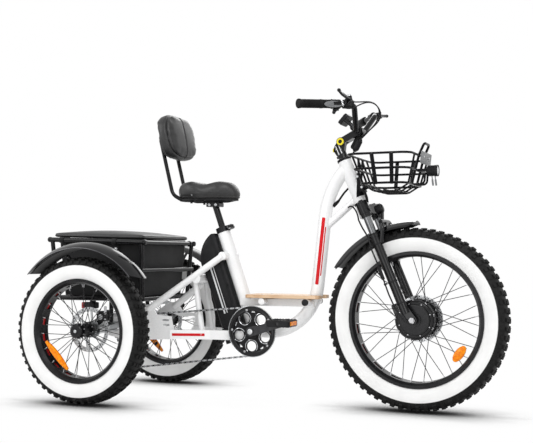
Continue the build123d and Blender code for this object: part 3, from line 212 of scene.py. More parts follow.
steel_grey = surface("steel_grey", (0.06, 0.06, 0.065), (0.12, 0.12, 0.125), 0.24, metal=0.8, grain=40,
                     fine=700)
red_film = surface("red_film", (0.54, 0.002, 0.006), (0.64, 0.005, 0.01), 0.35, grain=20, fine=500,
                   specular=0.2)
pale_film = surface("pale_film", (0.62, 0.63, 0.64), (0.72, 0.73, 0.74), 0.4, grain=20, fine=500)
lens_glass = surface("lens_glass", (0.7, 0.72, 0.74), (0.86, 0.87, 0.88), 0.08, grain=240, fine=300,
                     depth=0.0003, coat=0.8)
screen_glass = surface("screen_glass", (0.006, 0.008, 0.012), (0.012, 0.015, 0.02), 0.06, grain=8, fine=200,
                       coat=1.0, rough_spread=0.02)


def wood():
    mat, tree, shader = new_material("maple")
    wave = add_node(tree, "ShaderNodeTexWave", Scale=9.0, Distortion=5.0, Detail=3.0)
    wave.bands_direction = "Y"
    tree.links.new(object_coords(tree, (0.9, 11, 3)), wave.inputs["Vector"])
    tree.links.new(ramp(tree, wave.outputs["Fac"], [(0.1, (0.5, 0.3, 0.16)), (0.55, (0.64, 0.42, 0.25)),
                                                    (0.9, (0.72, 0.51, 0.33))]), shader.inputs["Base Color"])
    fibre = noise(tree, 220, 3, (0.06, 1, 1))
    tree.links.new(ramp(tree, fibre, [(0.3, 0.38), (0.7, 0.52)]), shader.inputs["Roughness"])
    bump(tree, shader, fibre, 0.4, 0.0002)
    return mat


def vinyl():
    mat, tree, shader = new_material("vinyl")
    cells = add_node(tree, "ShaderNodeTexVoronoi", Scale=420.0)
    tree.links.new(object_coords(tree), cells.inputs["Vector"])
    broad = noise(tree, 22, 4)
    tree.links.new(ramp(tree, broad, [(0.3, (0.016, 0.016, 0.0165)), (0.7, (0.024, 0.024, 0.0245))]),
                   shader.inputs["Base Color"])
    tree.links.new(ramp(tree, broad, [(0.3, 0.38), (0.7, 0.46)]), shader.inputs["Roughness"])
    shader.inputs["Specular IOR Level"].default_value = 0.42
    bump(tree, shader, cells.outputs["Distance"], 0.15, 0.00015)
    return mat


def cloth():
    mat, tree, shader = new_material("bag_cloth")
    weave = add_node(tree, "ShaderNodeTexWave", Scale=320.0, Distortion=0.6)
    weave.bands_direction = "Z"
    tree.links.new(object_coords(tree), weave.inputs["Vector"])
    cross = add_node(tree, "ShaderNodeTexWave", Scale=320.0, Distortion=0.6)
    cross.bands_direction = "DIAGONAL"
    tree.links.new(object_coords(tree, (1, 1, 0.15)), cross.inputs["Vector"])
    both = add_node(tree, "ShaderNodeMath", operation="MULTIPLY")
    tree.links.new(weave.outputs["Fac"], both.inputs[0])
    tree.links.new(cross.outputs["Fac"], both.inputs[1])
    broad = noise(tree, 12, 4)
    tree.links.new(ramp(tree, broad, [(0.3, (0.005, 0.005, 0.0055)), (0.7, (0.011, 0.011, 0.0115))]),
                   shader.inputs["Base Color"])
    tree.links.new(ramp(tree, broad, [(0.3, 0.5), (0.7, 0.66)]), shader.inputs["Roughness"])
    shader.inputs["Sheen Weight"].default_value = 0.04
    shader.inputs["Specular IOR Level"].default_value = 0.2
    bump(tree, shader, both.outputs["Value"], 0.3, 0.0004)
    return mat


def distance_from_axis(tree, centre):
    """Distance in metres from the cross axle through centre."""
    coords = tree.nodes.new("ShaderNodeTexCoord")
    shift = add_node(tree, "ShaderNodeVectorMath", operation="SUBTRACT")
    tree.links.new(coords.outputs["Object"], shift.inputs[0])
    shift.inputs[1].default_value = centre
    flat = add_node(tree, "ShaderNodeVectorMath", operation="MULTIPLY")
    tree.links.new(shift.outputs["Vector"], flat.inputs[0])
    flat.inputs[1].default_value = (1, 0, 1)
    length = add_node(tree, "ShaderNodeVectorMath", operation="LENGTH")
    tree.links.new(flat.outputs["Vector"], length.inputs[0])
    return length.outputs["Value"]


def step(tree, value, edge, soft=0.0004):
    """0 below edge and 1 above it."""
    node = add_node(tree, "ShaderNodeMapRange")
    node.inputs["From Min"].default_value = edge - soft
    node.inputs["From Max"].default_value = edge + soft
    tree.links.new(value, node.inputs["Value"])
    return node.outputs["Result"]


def mix_colour(tree, factor, first, second):
    node = tree.nodes.new("ShaderNodeMix")
    node.data_type = "RGBA"
    tree.links.new(factor, node.inputs["Factor"])
    a, b = node.inputs[6], node.inputs[7]
    for socket, value in ((a, first), (b, second)):
        if isinstance(value, tuple):
            socket.default_value = (*value, 1)
        else:
            tree.links.new(value, socket)
    return node.outputs[2]


def tyre_material(name, centre, white_radius):
    """Black rubber with a white side band inside white_radius."""
    mat, tree, shader = new_material(name)
    radius = distance_from_axis(tree, centre)
    broad = noise(tree, 40, 4)
    black = ramp(tree, broad, [(0.3, (0.005, 0.005, 0.005)), (0.7, (0.012, 0.012, 0.012))])
    pale = ramp(tree, noise(tree, 16, 5), [(0.3, (0.8, 0.8, 0.795)), (0.7, (0.86, 0.86, 0.855))])
    tree.links.new(mix_colour(tree, step(tree, radius, white_radius / 1000, 0.0008), pale, black),
                   shader.inputs["Base Color"])
    fine = noise(tree, 900, 2)
    tree.links.new(ramp(tree, fine, [(0.3, 0.52), (0.7, 0.68)]), shader.inputs["Roughness"])
    shader.inputs["Specular IOR Level"].default_value = 0.18
    bump(tree, shader, fine, 0.35, 0.00015)
    return mat


maple, black_vinyl, bag_cloth = wood(), vinyl(), cloth()
FRONT_C, RIGHT_C, LEFT_C = at(WHEELBASE, 0, FRONT_R), at(0, -HALF_TRACK, REAR_R), at(0, HALF_TRACK, REAR_R)

node_materials = (
    (white_paint, "head_tube main_tube seat_tube bottom_bracket"),
    (white_paint, "seat_stays chainstays axle_plates footboard_beam"),
    (black_paint, "cargo_rack backrest_frame handlebar chainring"),
    (gloss_black, "rear_fenders front_fender seat_post fork_crown fork_lowers stem_base stem_arm"),
    (black_plastic, "battery_pack tail_light headlight fork_lamp saddle_base display shift_lever"),
    (black_plastic, "control_cables motor_cable right_pedal left_pedal"),
    (dark_alloy, "rear_calipers seat_collar seat_clamp_lever"),
    (dark_alloy, "control_clamps right_brake_lever left_brake_lever"),
    (dark_alloy, "front_rim hub_motor right_rear_rim right_rear_hub left_rear_rim left_rear_hub"),
    (steel, "drive_chain front_axle cassette"),
    (alloy, "axle_housing rear_derailleur"),
    (rubber, "grips throttle_sleeve"),
    (black_vinyl, "saddle backrest_pad cargo_lid"),
    (bag_cloth, "cargo_bag"),
    (maple, "footboard"),
    (basket_wire, "front_basket"),
    (stanchion_painted_reflection, "fork_stanchions"),
    (crank_alloy, "crank_set"),
)
for material, node_names in node_materials:
    for node_name in node_names.split():
        node_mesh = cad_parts[node_name].data
        node_mesh.materials.clear()
        node_mesh.materials.append(material)


# Mesh helpers
def new_mesh(name, verts, faces):
    """A mesh whose closed shells all face outward."""
    mesh = bpy.data.meshes.new(name)
    mesh.from_pydata([tuple(v) for v in verts], [], faces)
    work = bmesh.new()
    work.from_mesh(mesh)
    bmesh.ops.recalc_face_normals(work, faces=work.faces)
    work.to_mesh(mesh)
    work.free()
    return mesh


def piece(name, verts, faces, material, body, sharp=35, bevel=0.0):
    """A mesh object from points in the row frame that rides on a body, with edges rounded by bevel."""
    obj = bpy.data.objects.new(name, new_mesh(name, verts, faces))
    bpy.context.collection.objects.link(obj)
    if bevel:
        rounding = obj.modifiers.new("bevel", "BEVEL")
        rounding.width = bevel / 1000
        rounding.segments = 2
        rounding.limit_method = "ANGLE"
        rounding.angle_limit = radians(30)
        freeze(obj)
    dress(obj, material, body, sharp)
    return obj


def dress(obj, material, body, sharp=35):
    mesh = obj.data
    mesh.materials.clear()
    mesh.materials.append(material)
    mesh.shade_smooth()
    mesh.set_sharp_from_angle(angle=radians(sharp))
    if body:
        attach(obj, body)


def freeze(obj):
    """Replace an object's mesh by what its modifiers make of it."""
    graph = bpy.context.evaluated_depsgraph_get()
    mesh = bpy.data.meshes.new_from_object(obj.evaluated_get(graph))
    obj.modifiers.clear()
    obj.data = mesh


def ring_faces(rows, columns, close_rows=True, close_columns=True, first=0):
    """Quads of a grid of rows x columns points that may close on itself both ways."""
    faces = []
    for i in range(rows if close_rows else rows - 1):
        for j in range(columns if close_columns else columns - 1):
            a, b = i * columns + j, i * columns + (j + 1) % columns
            c, d = ((i + 1) % rows) * columns + (j + 1) % columns, ((i + 1) % rows) * columns + j
            faces.append((first + a, first + b, first + c, first + d))
    return faces


def wheel_point(centre, angle, y, radius):
    """A point at an angle in a wheel's plane, y and radius in millimetres."""
    return centre + Vector((radius * cos(angle), y, radius * sin(angle))) / 1000


class Shell:
    """Points and faces gathered for one piece. Measures are in millimetres."""

    def __init__(self):
        self.verts, self.faces = [], []

    def skin(self, rows, close_rows=False):
        """Add a skin over rows of points, each closed on itself. Open rows end in flat caps."""
        first, count = len(self.verts), len(rows[0])
        for row in rows:
            self.verts += row
        self.faces += ring_faces(len(rows), count, close_rows, first=first)
        if not close_rows:
            last = first + (len(rows) - 1) * count
            self.faces += [tuple(start + j for j in range(count)) for start in (first, last)]

    def turned(self, origin, axis, profile, steps=16, closed=False):
        """Add a shape turned about an axis: profile is (along, radius). A closed profile makes a ring, and an
        open one ends in flat caps."""
        axis = Vector(axis).normalized()
        first_side = axis.orthogonal().normalized()
        second_side = axis.cross(first_side)
        first, count = len(self.verts), len(profile)
        for i in range(steps):
            out = first_side * cos(2 * pi * i / steps) + second_side * sin(2 * pi * i / steps)
            self.verts += [origin + (axis * along + out * radius) / 1000 for along, radius in profile]
        self.faces += ring_faces(steps, count, close_columns=closed, first=first)
        if not closed:
            for j in (0, count - 1):
                self.faces.append(tuple(first + i * count + j for i in range(steps)))

    def bolt(self, origin, axis, radius, height):
        """Add a round bolt head with a socket."""
        self.turned(origin, axis, [(-1, radius), (0.7 * height, radius), (height, 0.8 * radius),
                                   (height, 0.45 * radius), (0.4 * height, 0.4 * radius)], 18)

    def stack(self, loops, place, heights):
        """Add a closed shell of outlines with the same number of points, one above the other."""
        self.skin([[place(a, b, height) for a, b in loop] for loop, height in zip(loops, heights)])

    def prism(self, outline, y_from, y_to):
        """Add a plate across Y from an outline of (x, z)."""
        self.skin([[at(x, y, z) for x, z in outline] for y in (y_from, y_to)])

    def plate(self, outlines, place, low, high):
        """Add a flat plate between two levels: the first outline is its edge, the rest are holes."""
        triangles = tessellate_polygon([[Vector((a, b, 0)) for a, b in loop] for loop in outlines])
        points = [point for loop in outlines for point in loop]
        start, count = len(self.verts), len(points)
        for level in (low, high):
            first = len(self.verts)
            self.verts += [place(a, b, level) for a, b in points]
            self.faces += [tuple(first + i for i in triangle) for triangle in triangles]
        for loop in outlines:
            for j in range(len(loop)):
                a, b = start + j, start + (j + 1) % len(loop)
                self.faces.append((a, b, b + count, a + count))
            start += len(loop)

    def tube(self, path, radii, steps=10):
        """Add a round tube along points, with one radius or one for each point."""
        radii = radii if isinstance(radii, list) else [radii] * len(path)
        rows = []
        side = None
        for k, point in enumerate(path):
            run = (path[min(k + 1, len(path) - 1)] - path[max(k - 1, 0)]).normalized()
            side = run.orthogonal() if side is None else side - run * side.dot(run)
            side.normalize()
            other = run.cross(side)
            turns = [2 * pi * j / steps for j in range(steps)]
            rows.append([point + (side * cos(turn) + other * sin(turn)) * radii[k] / 1000 for turn in turns])
        self.skin(rows)

    def piece(self, name, material, body, slot_name, sharp=35, bevel=0.0):
        return piece(name, self.verts, self.faces, material, body, sharp, bevel)


def wheel_ring(centre, profile, steps):
    """Rows of points of a profile of (y, radius) turned about a wheel's axle."""
    return [[wheel_point(centre, 2 * pi * i / steps, y, r) for y, r in profile] for i in range(steps)]


def lathe(name, profile, centre, material, body, slot_name):
    """A ring turned about the cross axle from a closed profile of (y, radius)."""
    shell = Shell()
    shell.skin(wheel_ring(centre, profile, 96), close_rows=True)
    return shell.piece(name, material, body, slot_name, sharp=30)


def turned_set(name, profile, places, material, body, slot_name, steps, closed=False):
    """One piece with the same turned shape at each place of (origin, axis)."""
    shell = Shell()
    for origin, axis in places:
        shell.turned(origin, axis, profile, steps, closed)
    return shell.piece(name, material, body, slot_name)


def turned(name, profile, origin, axis, material, body, slot_name, steps=48, closed=False):
    return turned_set(name, profile, [(origin, axis)], material, body, slot_name, steps, closed)


def bolts(name, places, material, body):
    """Bolt heads at places of (origin, axis, radius, height)."""
    shell = Shell()
    for place in places:
        shell.bolt(*place)
    return shell.piece(name, material, body, "steel")


def rounded(half_a, half_b, corner, steps=6):
    """The outline of a rectangle with round corners."""
    points = []
    for k, (sa, sb) in enumerate(((1, 1), (-1, 1), (-1, -1), (1, -1))):
        for j in range(steps + 1):
            turn = pi / 2 * (k + j / steps)
            points.append((sa * (half_a - corner) + corner * cos(turn),
                           sb * (half_b - corner) + corner * sin(turn)))
    return points


def oval(half_a, half_b, steps=40):
    return [(half_a * cos(2 * pi * k / steps), half_b * sin(2 * pi * k / steps)) for k in range(steps)]


def circle(radius, steps, a=0.0, b=0.0):
    return [(a + radius * cos(2 * pi * k / steps), b + radius * sin(2 * pi * k / steps))
            for k in range(steps)]


def placer(origin, along, across):
    """Turns (a, b, t) in millimetres on a plane into a point: t stands off the plane."""
    along, across = Vector(along).normalized(), Vector(across).normalized()
    off = along.cross(across)
    return lambda a, b, t: origin + (along * a + across * b + off * t) / 1000


def pad_plate(name, half_a, half_b, corner, thick, edge, place, material, body, slot_name):
    """A plate with round corners and a rounded upper edge."""
    shell = Shell()
    loops = [rounded(half_a - inset, half_b - inset, corner - inset) for inset in (0, 0, 0.3 * edge, edge)]
    shell.stack(loops, place, (0, thick - edge, thick - 0.3 * edge, thick))
    return shell.piece(name, material, body, slot_name)


def smooth_route(points):
    """Points along the smooth line of a cable with these control points."""
    curve = bpy.data.curves.new("route", "CURVE")
    curve.dimensions = "3D"
    curve.resolution_u = 10
    spline = curve.splines.new("NURBS")
    spline.points.add(len(points) - 1)
    for knot, point in zip(spline.points, points):
        knot.co = (*point, 1)
    spline.order_u = 3
    spline.use_endpoint_u = True
    obj = bpy.data.objects.new("route", curve)
    mesh = bpy.data.meshes.new_from_object(obj)
    path = [v.co.copy() for v in mesh.vertices]
    bpy.data.objects.remove(obj)
    return path


def tube(name, path, radii, material, body, slot_name, steps):
    shell = Shell()
    shell.tube(path, radii, steps)
    return shell.piece(name, material, body, slot_name)


def arc_points(start, middle, end, count):
    """Points on the circle arc through three points in a plane."""
    (ax, ay), (bx, by), (cx, cy) = start, middle, end
    d = 2 * (ax * (by - cy) + bx * (cy - ay) + cx * (ay - by))
    aa, bb, cc = ax * ax + ay * ay, bx * bx + by * by, cx * cx + cy * cy
    ux = (aa * (by - cy) + bb * (cy - ay) + cc * (ay - by)) / d
    uy = (aa * (cx - bx) + bb * (ax - cx) + cc * (bx - ax)) / d
    r = math.hypot(ax - ux, ay - uy)
    a0, a1, a2 = (math.atan2(y - uy, x - ux) for x, y in (start, middle, end))
    span = (a2 - a0) % (2 * pi)
    if (a1 - a0) % (2 * pi) > span:
        span -= 2 * pi
    return [(ux + r * cos(a0 + span * k / count), uy + r * sin(a0 + span * k / count))
            for k in range(count + 1)]


# Tyres: carcass with a smooth white side and rows of tread blocks
BEAD_Y, WALL_Y, BULGE_Y, SHOULDER_Y = 31, 36.4, 49.6, 41
BEAD_DEPTH, SHOULDER_DROP, KNOB = 8, 17, 7
# Rows of tread blocks: place across, length, width and offset in the pattern
TREAD_ROWS = [(0, 16, 13, 0), (15.5, 17, 12, 0.14), (-15.5, 17, 12, 0.14), (30.5, 18, 12, 0.28),
              (-30.5, 18, 12, 0.28)]


def tyre(name, node, centre, radius, rim_edge, white_radius, body, blocks):
    crown, shoulder = radius - KNOB, radius - SHOULDER_DROP
    bead = rim_edge - BEAD_DEPTH
    bulge = rim_edge + 0.47 * (radius - rim_edge)
    outer = arc_points((-WALL_Y, rim_edge + 1), (-BULGE_Y, bulge), (-SHOULDER_Y, shoulder), 9)
    tread_ends = (-SHOULDER_Y, shoulder), (0, crown), (SHOULDER_Y, shoulder)
    bead_side = [(-BEAD_Y, rim_edge), (-BEAD_Y, bead), (-WALL_Y, bead)]
    profile = bead_side + outer + arc_points(*tread_ends, 12)[1:]
    profile += [(-y, r) for y, r in reversed(bead_side + outer[:-1])]
    profile += [(44, bulge), (34, radius - 22), (0, crown - 6), (-34, radius - 22), (-44, bulge)]
    shell = Shell()
    shell.skin(wheel_ring(centre, profile, 128), close_rows=True)
    curve = arc_points(*tread_ends, 200)

    def on_tread(y):
        return min(curve, key=lambda p: abs(p[0] - y))[1]

    for k in range(blocks):
        for y, length, width, offset in TREAD_ROWS:
            edge = [(side_y, on_tread(side_y)) for side_y in (y - width / 2, y + width / 2)]
            add_block(shell, centre, 2 * pi * (k + offset) / blocks, edge, length, radius, KNOB)
        reach = 6 * (k % 2)
        for side in (-1, 1):
            edge = [(side * 39.5, on_tread(39.5)), (side * (47.5 - reach * 0.2), radius - 28 - reach)]
            add_block(shell, centre, 2 * pi * (k + 0.32) / blocks, edge, 17, radius, KNOB * 0.75)
    obj = shell.piece(name, tyre_material(name + "_rubber", centre, white_radius), body, "tyre", sharp=40)
    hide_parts(node)


def add_block(shell, centre, angle, edge, length, radius, height):
    """A tapered tread block that stands on the line edge = [(y, r), (y, r)] of the carcass."""
    (y0, r0), (y1, r1) = edge
    ny, nr = -(r1 - r0), (y1 - y0)
    if nr < 0 or (abs(nr) < abs(ny) and ny * y1 < 0):
        ny, nr = -ny, -nr
    size = math.hypot(ny, nr)
    my, mr = (y0 + y1) / 2, (r0 + r1) / 2
    rows = []
    for lift, shrink in ((-2.5, 1.0), (height, 0.78)):
        row = []
        for y, r, along in ((y0, r0, -1), (y1, r1, -1), (y1, r1, 1), (y0, r0, 1)):
            turn = angle + along * shrink * length / 2 / radius
            yy, rr = my + (y - my) * shrink + ny / size * lift, mr + (r - mr) * shrink + nr / size * lift
            row.append(wheel_point(centre, turn, yy, min(rr, radius)))
        rows.append(row)
    shell.skin(rows)


def rim_liner(name, centre, rim_edge, body):
    """The coloured strip that shows through the rim's cut-outs."""
    r = rim_edge - 15.6
    lathe(name, [(-22, r), (22, r), (22, r + 0.8), (-22, r + 0.8)], centre, red_plastic, body, "red_lens")


for wheel, centre, radius, rim, white, count in (("front", FRONT_C, FRONT_R, FRONT_RIM, FRONT_WHITE, 64),
                                                 ("right_rear", RIGHT_C, REAR_R, REAR_RIM, REAR_WHITE, 54),
                                                 ("left_rear", LEFT_C, REAR_R, REAR_RIM, REAR_WHITE, 54)):
    tyre(wheel + "_tread_tyre", wheel + "_tyre", centre, radius, rim, white, wheel + "_wheel", count)
    rim_liner(wheel + "_rim_liner", centre, rim, wheel + "_wheel")


# Soft goods: each starts as a closed form, is swollen as cloth, then gets its seams
def soft_copy(mesh, name, shape, voxel, cap, pressure=4.0):
    """A padded copy of a closed mesh: remeshed, reshaped and swollen by at most cap metres."""
    obj = bpy.data.objects.new(name, mesh.copy())
    bpy.context.collection.objects.link(obj)
    remesh = obj.modifiers.new("remesh", "REMESH")
    remesh.mode = "VOXEL"
    remesh.voxel_size = voxel
    freeze(obj)
    for vert in obj.data.vertices:
        vert.co = shape(vert.co)
    swell(obj, cap, pressure)
    relax = obj.modifiers.new("relax", "SMOOTH")
    relax.factor = 0.5
    relax.iterations = 8
    freeze(obj)
    return obj


def swell(obj, cap, pressure):
    before = [v.co.copy() for v in obj.data.vertices]
    cloth_mod = obj.modifiers.new("cloth", "CLOTH")
    settings = cloth_mod.settings
    settings.quality = 5
    settings.use_pressure = True
    settings.uniform_pressure_force = pressure
    settings.tension_stiffness = 30
    settings.compression_stiffness = 30
    settings.shear_stiffness = 15
    settings.bending_stiffness = 2
    settings.effector_weights.gravity = 0
    cloth_mod.point_cache.frame_start = 1
    cloth_mod.point_cache.frame_end = 20
    scene = bpy.context.scene
    for number in range(1, 21):
        scene.frame_set(number)
    graph = bpy.context.evaluated_depsgraph_get()
    after = obj.evaluated_get(graph).data
    moved = [v.co.copy() for v in after.vertices]
    obj.modifiers.clear()
    scene.frame_set(1)
    for vert, old, new in zip(obj.data.vertices, before, moved):
        shift = new - old
        if shift.length > cap:
            shift *= cap / shift.length
        vert.co = old + shift


def slab_form(name, outline, place, low, high):
    """A closed slab between two levels of an outline."""
    shell = Shell()
    shell.stack([outline, outline], place, (low, high))
    return new_mesh(name, shell.verts, shell.faces)


def finish_soft(obj, node, body, material, seams, limit):
    subdivide = obj.modifiers.new("smooth", "SUBSURF")
    subdivide.levels = subdivide.render_levels = 1
    freeze(obj)
    mesh = obj.data
    normals = [v.normal.copy() for v in mesh.vertices]
    for vert, normal in zip(mesh.vertices, normals):
        push = 0.0
        for distance, depth, width in seams:
            d = distance(vert.co, normal)
            if d is not None:
                push -= depth * math.exp(-(d / width) ** 2)
        vert.co = limit(vert.co + normal * push)
    dress(obj, material, body, sharp=80)
    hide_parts(node)


# Saddle, from its CAD solid: broad back, a dip behind the nose, a blunt nose and a skirt below the side seam
SADDLE_X, SADDLE_FOOT, SADDLE_TALL = 388, 830.2, 70


def saddle_shape(p):
    x, y, z = p.x * 1000 - REAR_AXLE_X, p.y * 1000, p.z * 1000
    rise = (z - SADDLE_FOOT) / SADDLE_TALL
    dip = 15 * math.exp(-((x - 393) / 36) ** 2)
    nose, tail = 34 * max(0, (x - 478) / 46) ** 2, 14 * max(0, (295 - x) / 45) ** 2
    waist = 1 - 0.14 * math.exp(-((x - 432) / 36) ** 2)
    flare = 1 - 0.08 * max(0, 0.35 - rise) / 0.35
    height = 67.5 - (dip + nose + tail)
    return at(SADDLE_X + (x - SADDLE_X) * 0.98, y * waist * flare * 0.97, SADDLE_FOOT + 0.4 + rise * height)


def saddle_limit(p):
    return Vector((p.x, p.y, max(p.z, (SADDLE_FOOT + 0.2) / 1000)))


def saddle_side_seam(p, normal):
    return p.z - 0.84 if abs(normal.z) < 0.8 else None


def saddle_channel(p, normal):
    x = p.x * 1000 - REAR_AXLE_X
    return p.y if normal.z > 0.3 and 300 < x < 480 else None


saddle = soft_copy(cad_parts["saddle"].data, "saddle_cushion", saddle_shape, 0.005, 0.006)
finish_soft(saddle, "saddle", "seat", black_vinyl,
            [(saddle_side_seam, 0.0016, 0.0024), (saddle_channel, 0.003, 0.013)], saddle_limit)

# Backrest: a crowned pad in two upright panels, with a deep seam round its front
PAD_LEAN = radians(12)
PAD_HALF, PAD_TALL, PAD_THICK, PAD_BACK, PAD_CROWN = 126, 98, 57, 4, 8
pad_origin = at(197, 0, 1089)
pad_out = Vector((cos(PAD_LEAN), 0, sin(PAD_LEAN)))
pad_up = Vector((-sin(PAD_LEAN), 0, cos(PAD_LEAN)))


def pad_coords(p):
    rel = (p - pad_origin) * 1000
    return rel.y, rel.dot(pad_up), rel.dot(pad_out)


def pad_point(y, u, t):
    return pad_origin + (Vector((0, y, 0)) + pad_up * u + pad_out * t) / 1000


def pad_gauge(y, u):
    """0 at the middle of the pad and 1 along its outline."""
    return ((abs(y) / PAD_HALF) ** 3 + (abs(u) / PAD_TALL) ** 3) ** (1 / 3)


def pad_form():
    """A closed slab with the pad's round outline."""
    outline = []
    for k in range(72):
        a, b = cos(2 * pi * k / 72), sin(2 * pi * k / 72)
        reach = (abs(a) ** 3 + abs(b) ** 3) ** (-1 / 3)
        outline.append((PAD_HALF * reach * a, PAD_TALL * reach * b))
    return slab_form("pad_form", outline, pad_point, PAD_BACK, PAD_THICK)


def pad_shape(p):
    y, u, t = pad_coords(p)
    share = (t - PAD_BACK) / (PAD_THICK - PAD_BACK)
    return pad_point(y, u, t + PAD_CROWN * share * max(0, 1 - pad_gauge(y, u) ** 2))


def pad_seam(p, normal):
    y, _, t = pad_coords(p)
    return y / 1000 if normal.dot(pad_out) > 0.1 and t > 20 else None


def pad_front_seam(p, normal):
    y, u, t = pad_coords(p)
    return math.hypot(100 * (pad_gauge(y, u) - 1), t - PAD_THICK) / 1000


def pad_edge_seam(p, normal):
    _, _, t = pad_coords(p)
    return (t - 13) / 1000 if abs(normal.dot(pad_out)) < 0.8 else None


def pad_limit(p):
    y, u, t = pad_coords(p)
    return pad_point(y, u, max(t, 0.5))


pad = soft_copy(pad_form(), "backrest_cushion", pad_shape, 0.005, 0.008)
finish_soft(pad, "backrest_pad", "seat", black_vinyl,
            [(pad_seam, 0.0045, 0.0034), (pad_front_seam, 0.013, 0.0085), (pad_edge_seam, 0.002, 0.003)],
            pad_limit)

# Cargo lid: a low padded dome with a seam above its side band
LID_BACK, LID_FRONT, LID_HALF = -264, 186, 208
LID_BACK_Z, LID_FRONT_Z, LID_CROWN = 672, 660, 16
LID_FORM_TALL, LID_EDGE_TALL, LID_CORNER = 20, 14, 16
lid_middle, lid_reach = (LID_BACK + LID_FRONT) / 2, (LID_FRONT - LID_BACK) / 2


def lid_bottom(x):
    """Height of the lid's underside, which falls to the front."""
    return LID_BACK_Z + (LID_FRONT_Z - LID_BACK_Z) * (x - LID_BACK) / (LID_FRONT - LID_BACK)


def lid_form():
    """A closed slab with round corners, sized and placed as the lid."""
    def place(a, b, t):
        return at(lid_middle + a, b, lid_bottom(lid_middle + a) + t)

    return slab_form("lid_form", rounded(lid_reach, LID_HALF, LID_CORNER), place, 0, LID_FORM_TALL)


def lid_shape(p):
    x, y = p.x * 1000 - REAR_AXLE_X, p.y * 1000
    lift = p.z * 1000 - lid_bottom(x)
    dome = (1 - (abs(y) / LID_HALF) ** 4) * (1 - (abs(x - lid_middle) / lid_reach) ** 2)
    height = lift / LID_FORM_TALL * (LID_EDGE_TALL + LID_CROWN * dome)
    return at(lid_middle + (x - lid_middle) * 0.99, y * 0.99, lid_bottom(x) + 0.6 + height)


def lid_seam(p, normal):
    x = p.x * 1000 - REAR_AXLE_X
    return p.z - (lid_bottom(x) + 11.5) / 1000 if abs(normal.z) < 0.9 else None


def lid_limit(p):
    return Vector((p.x, p.y, max(p.z, (lid_bottom(p.x * 1000 - REAR_AXLE_X) + 0.3) / 1000)))


lid = soft_copy(lid_form(), "cargo_lid_cushion", lid_shape, 0.006, 0.004)
finish_soft(lid, "cargo_lid", "lid", black_vinyl, [(lid_seam, 0.002, 0.0025)], lid_limit)


# Cargo bag: a tapered shell whose panels sag a little between the rails
BAG_FLOOR, BAG_TALL = 425, 230


def bag_row(z, front, back, half, corner, bulge, steps=9):
    """One level of the bag's outline, with rounded corners and panels that bow out by bulge."""
    points = []
    centres = ((front - corner, half - corner), (back + corner, half - corner),
               (back + corner, corner - half), (front - corner, corner - half))
    for k, (cx, cy) in enumerate(centres):
        for j in range(steps + 1):
            a = pi / 2 * (k + j / steps)
            points.append((cx + corner * cos(a), cy + corner * sin(a)))
        nx, ny = centres[(k + 1) % 4]
        a = pi / 2 * (k + 1)
        for j in range(1, 12):
            f = j / 12
            out = bulge * sin(pi * f) + bulge * 0.35 * sin(3 * pi * f + z * 0.045 + k)
            points.append((cx + (nx - cx) * f + (corner + out) * cos(a),
                           cy + (ny - cy) * f + (corner + out) * sin(a)))
    rise = (z - BAG_FLOOR) / BAG_TALL
    return [at(x, y, BAG_FLOOR + rise * (lid_bottom(x) - BAG_FLOOR - 0.8)) for x, y in points]


def bag():
    rows = []
    for k in range(25):
        f = k / 24
        z = BAG_FLOOR + f * BAG_TALL
        belly = 3.2 * sin(pi * min(1, f * 2.1)) if f < 0.48 else 2.6 * sin(pi * (f - 0.48) / 0.52)
        seam = 1.8 * math.exp(-((f - 0.93) / 0.012) ** 2) + 1.4 * math.exp(-((f - 0.5) / 0.012) ** 2)
        front, back, half = 160.5 + 11 * f, -219 - 16 * f, 181 + 23 * f
        rows.append(bag_row(z, front - seam, back + seam, half - seam, 22, belly - 1))
    rows += [bag_row(655, 167, -231, 200, 18, 0), bag_row(440, 156, -215, 176.5, 18, 0)]
    count = len(rows[0])
    shell = Shell()
    shell.verts = [v for row in rows for v in row] + [at(-29, 0, BAG_FLOOR - 0.2), at(-29, 0, BAG_FLOOR + 7)]
    shell.faces = ring_faces(len(rows), count, close_rows=False)
    last, outer_floor, inner_floor = (len(rows) - 1) * count, len(rows) * count, len(rows) * count + 1
    for j in range(count):
        shell.faces.append((outer_floor, (j + 1) % count, j))
        shell.faces.append((inner_floor, last + j, last + (j + 1) % count))
    obj = shell.piece("cargo_bag_shell", bag_cloth, "frame", "bag_cloth", sharp=60)
    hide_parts("cargo_bag")
    return obj


bag()


# Roller chain on the same path as its CAD band
CHAIN_PITCH, LINK_R, LINK_WAIST, ROLLER_R = 12.7, 3.9, 2.7, 2.6
COG_TEETH, COG_R, GUIDE_R, RING_R = 20, 40.4, 20, 97


def tangent_run(first, second):
    dx, dz = second[0] - first[0], second[1] - first[1]
    swing = math.asin((first[3] * first[2] - second[3] * second[2]) / math.hypot(dx, dz))
    heading = math.atan2(dz, dx) + swing
    nx, nz = sin(heading), -cos(heading)
    return ((first[0] + first[3] * first[2] * nx, first[1] + first[3] * first[2] * nz),
            (second[0] + second[3] * second[2] * nx, second[1] + second[3] * second[2] * nz))


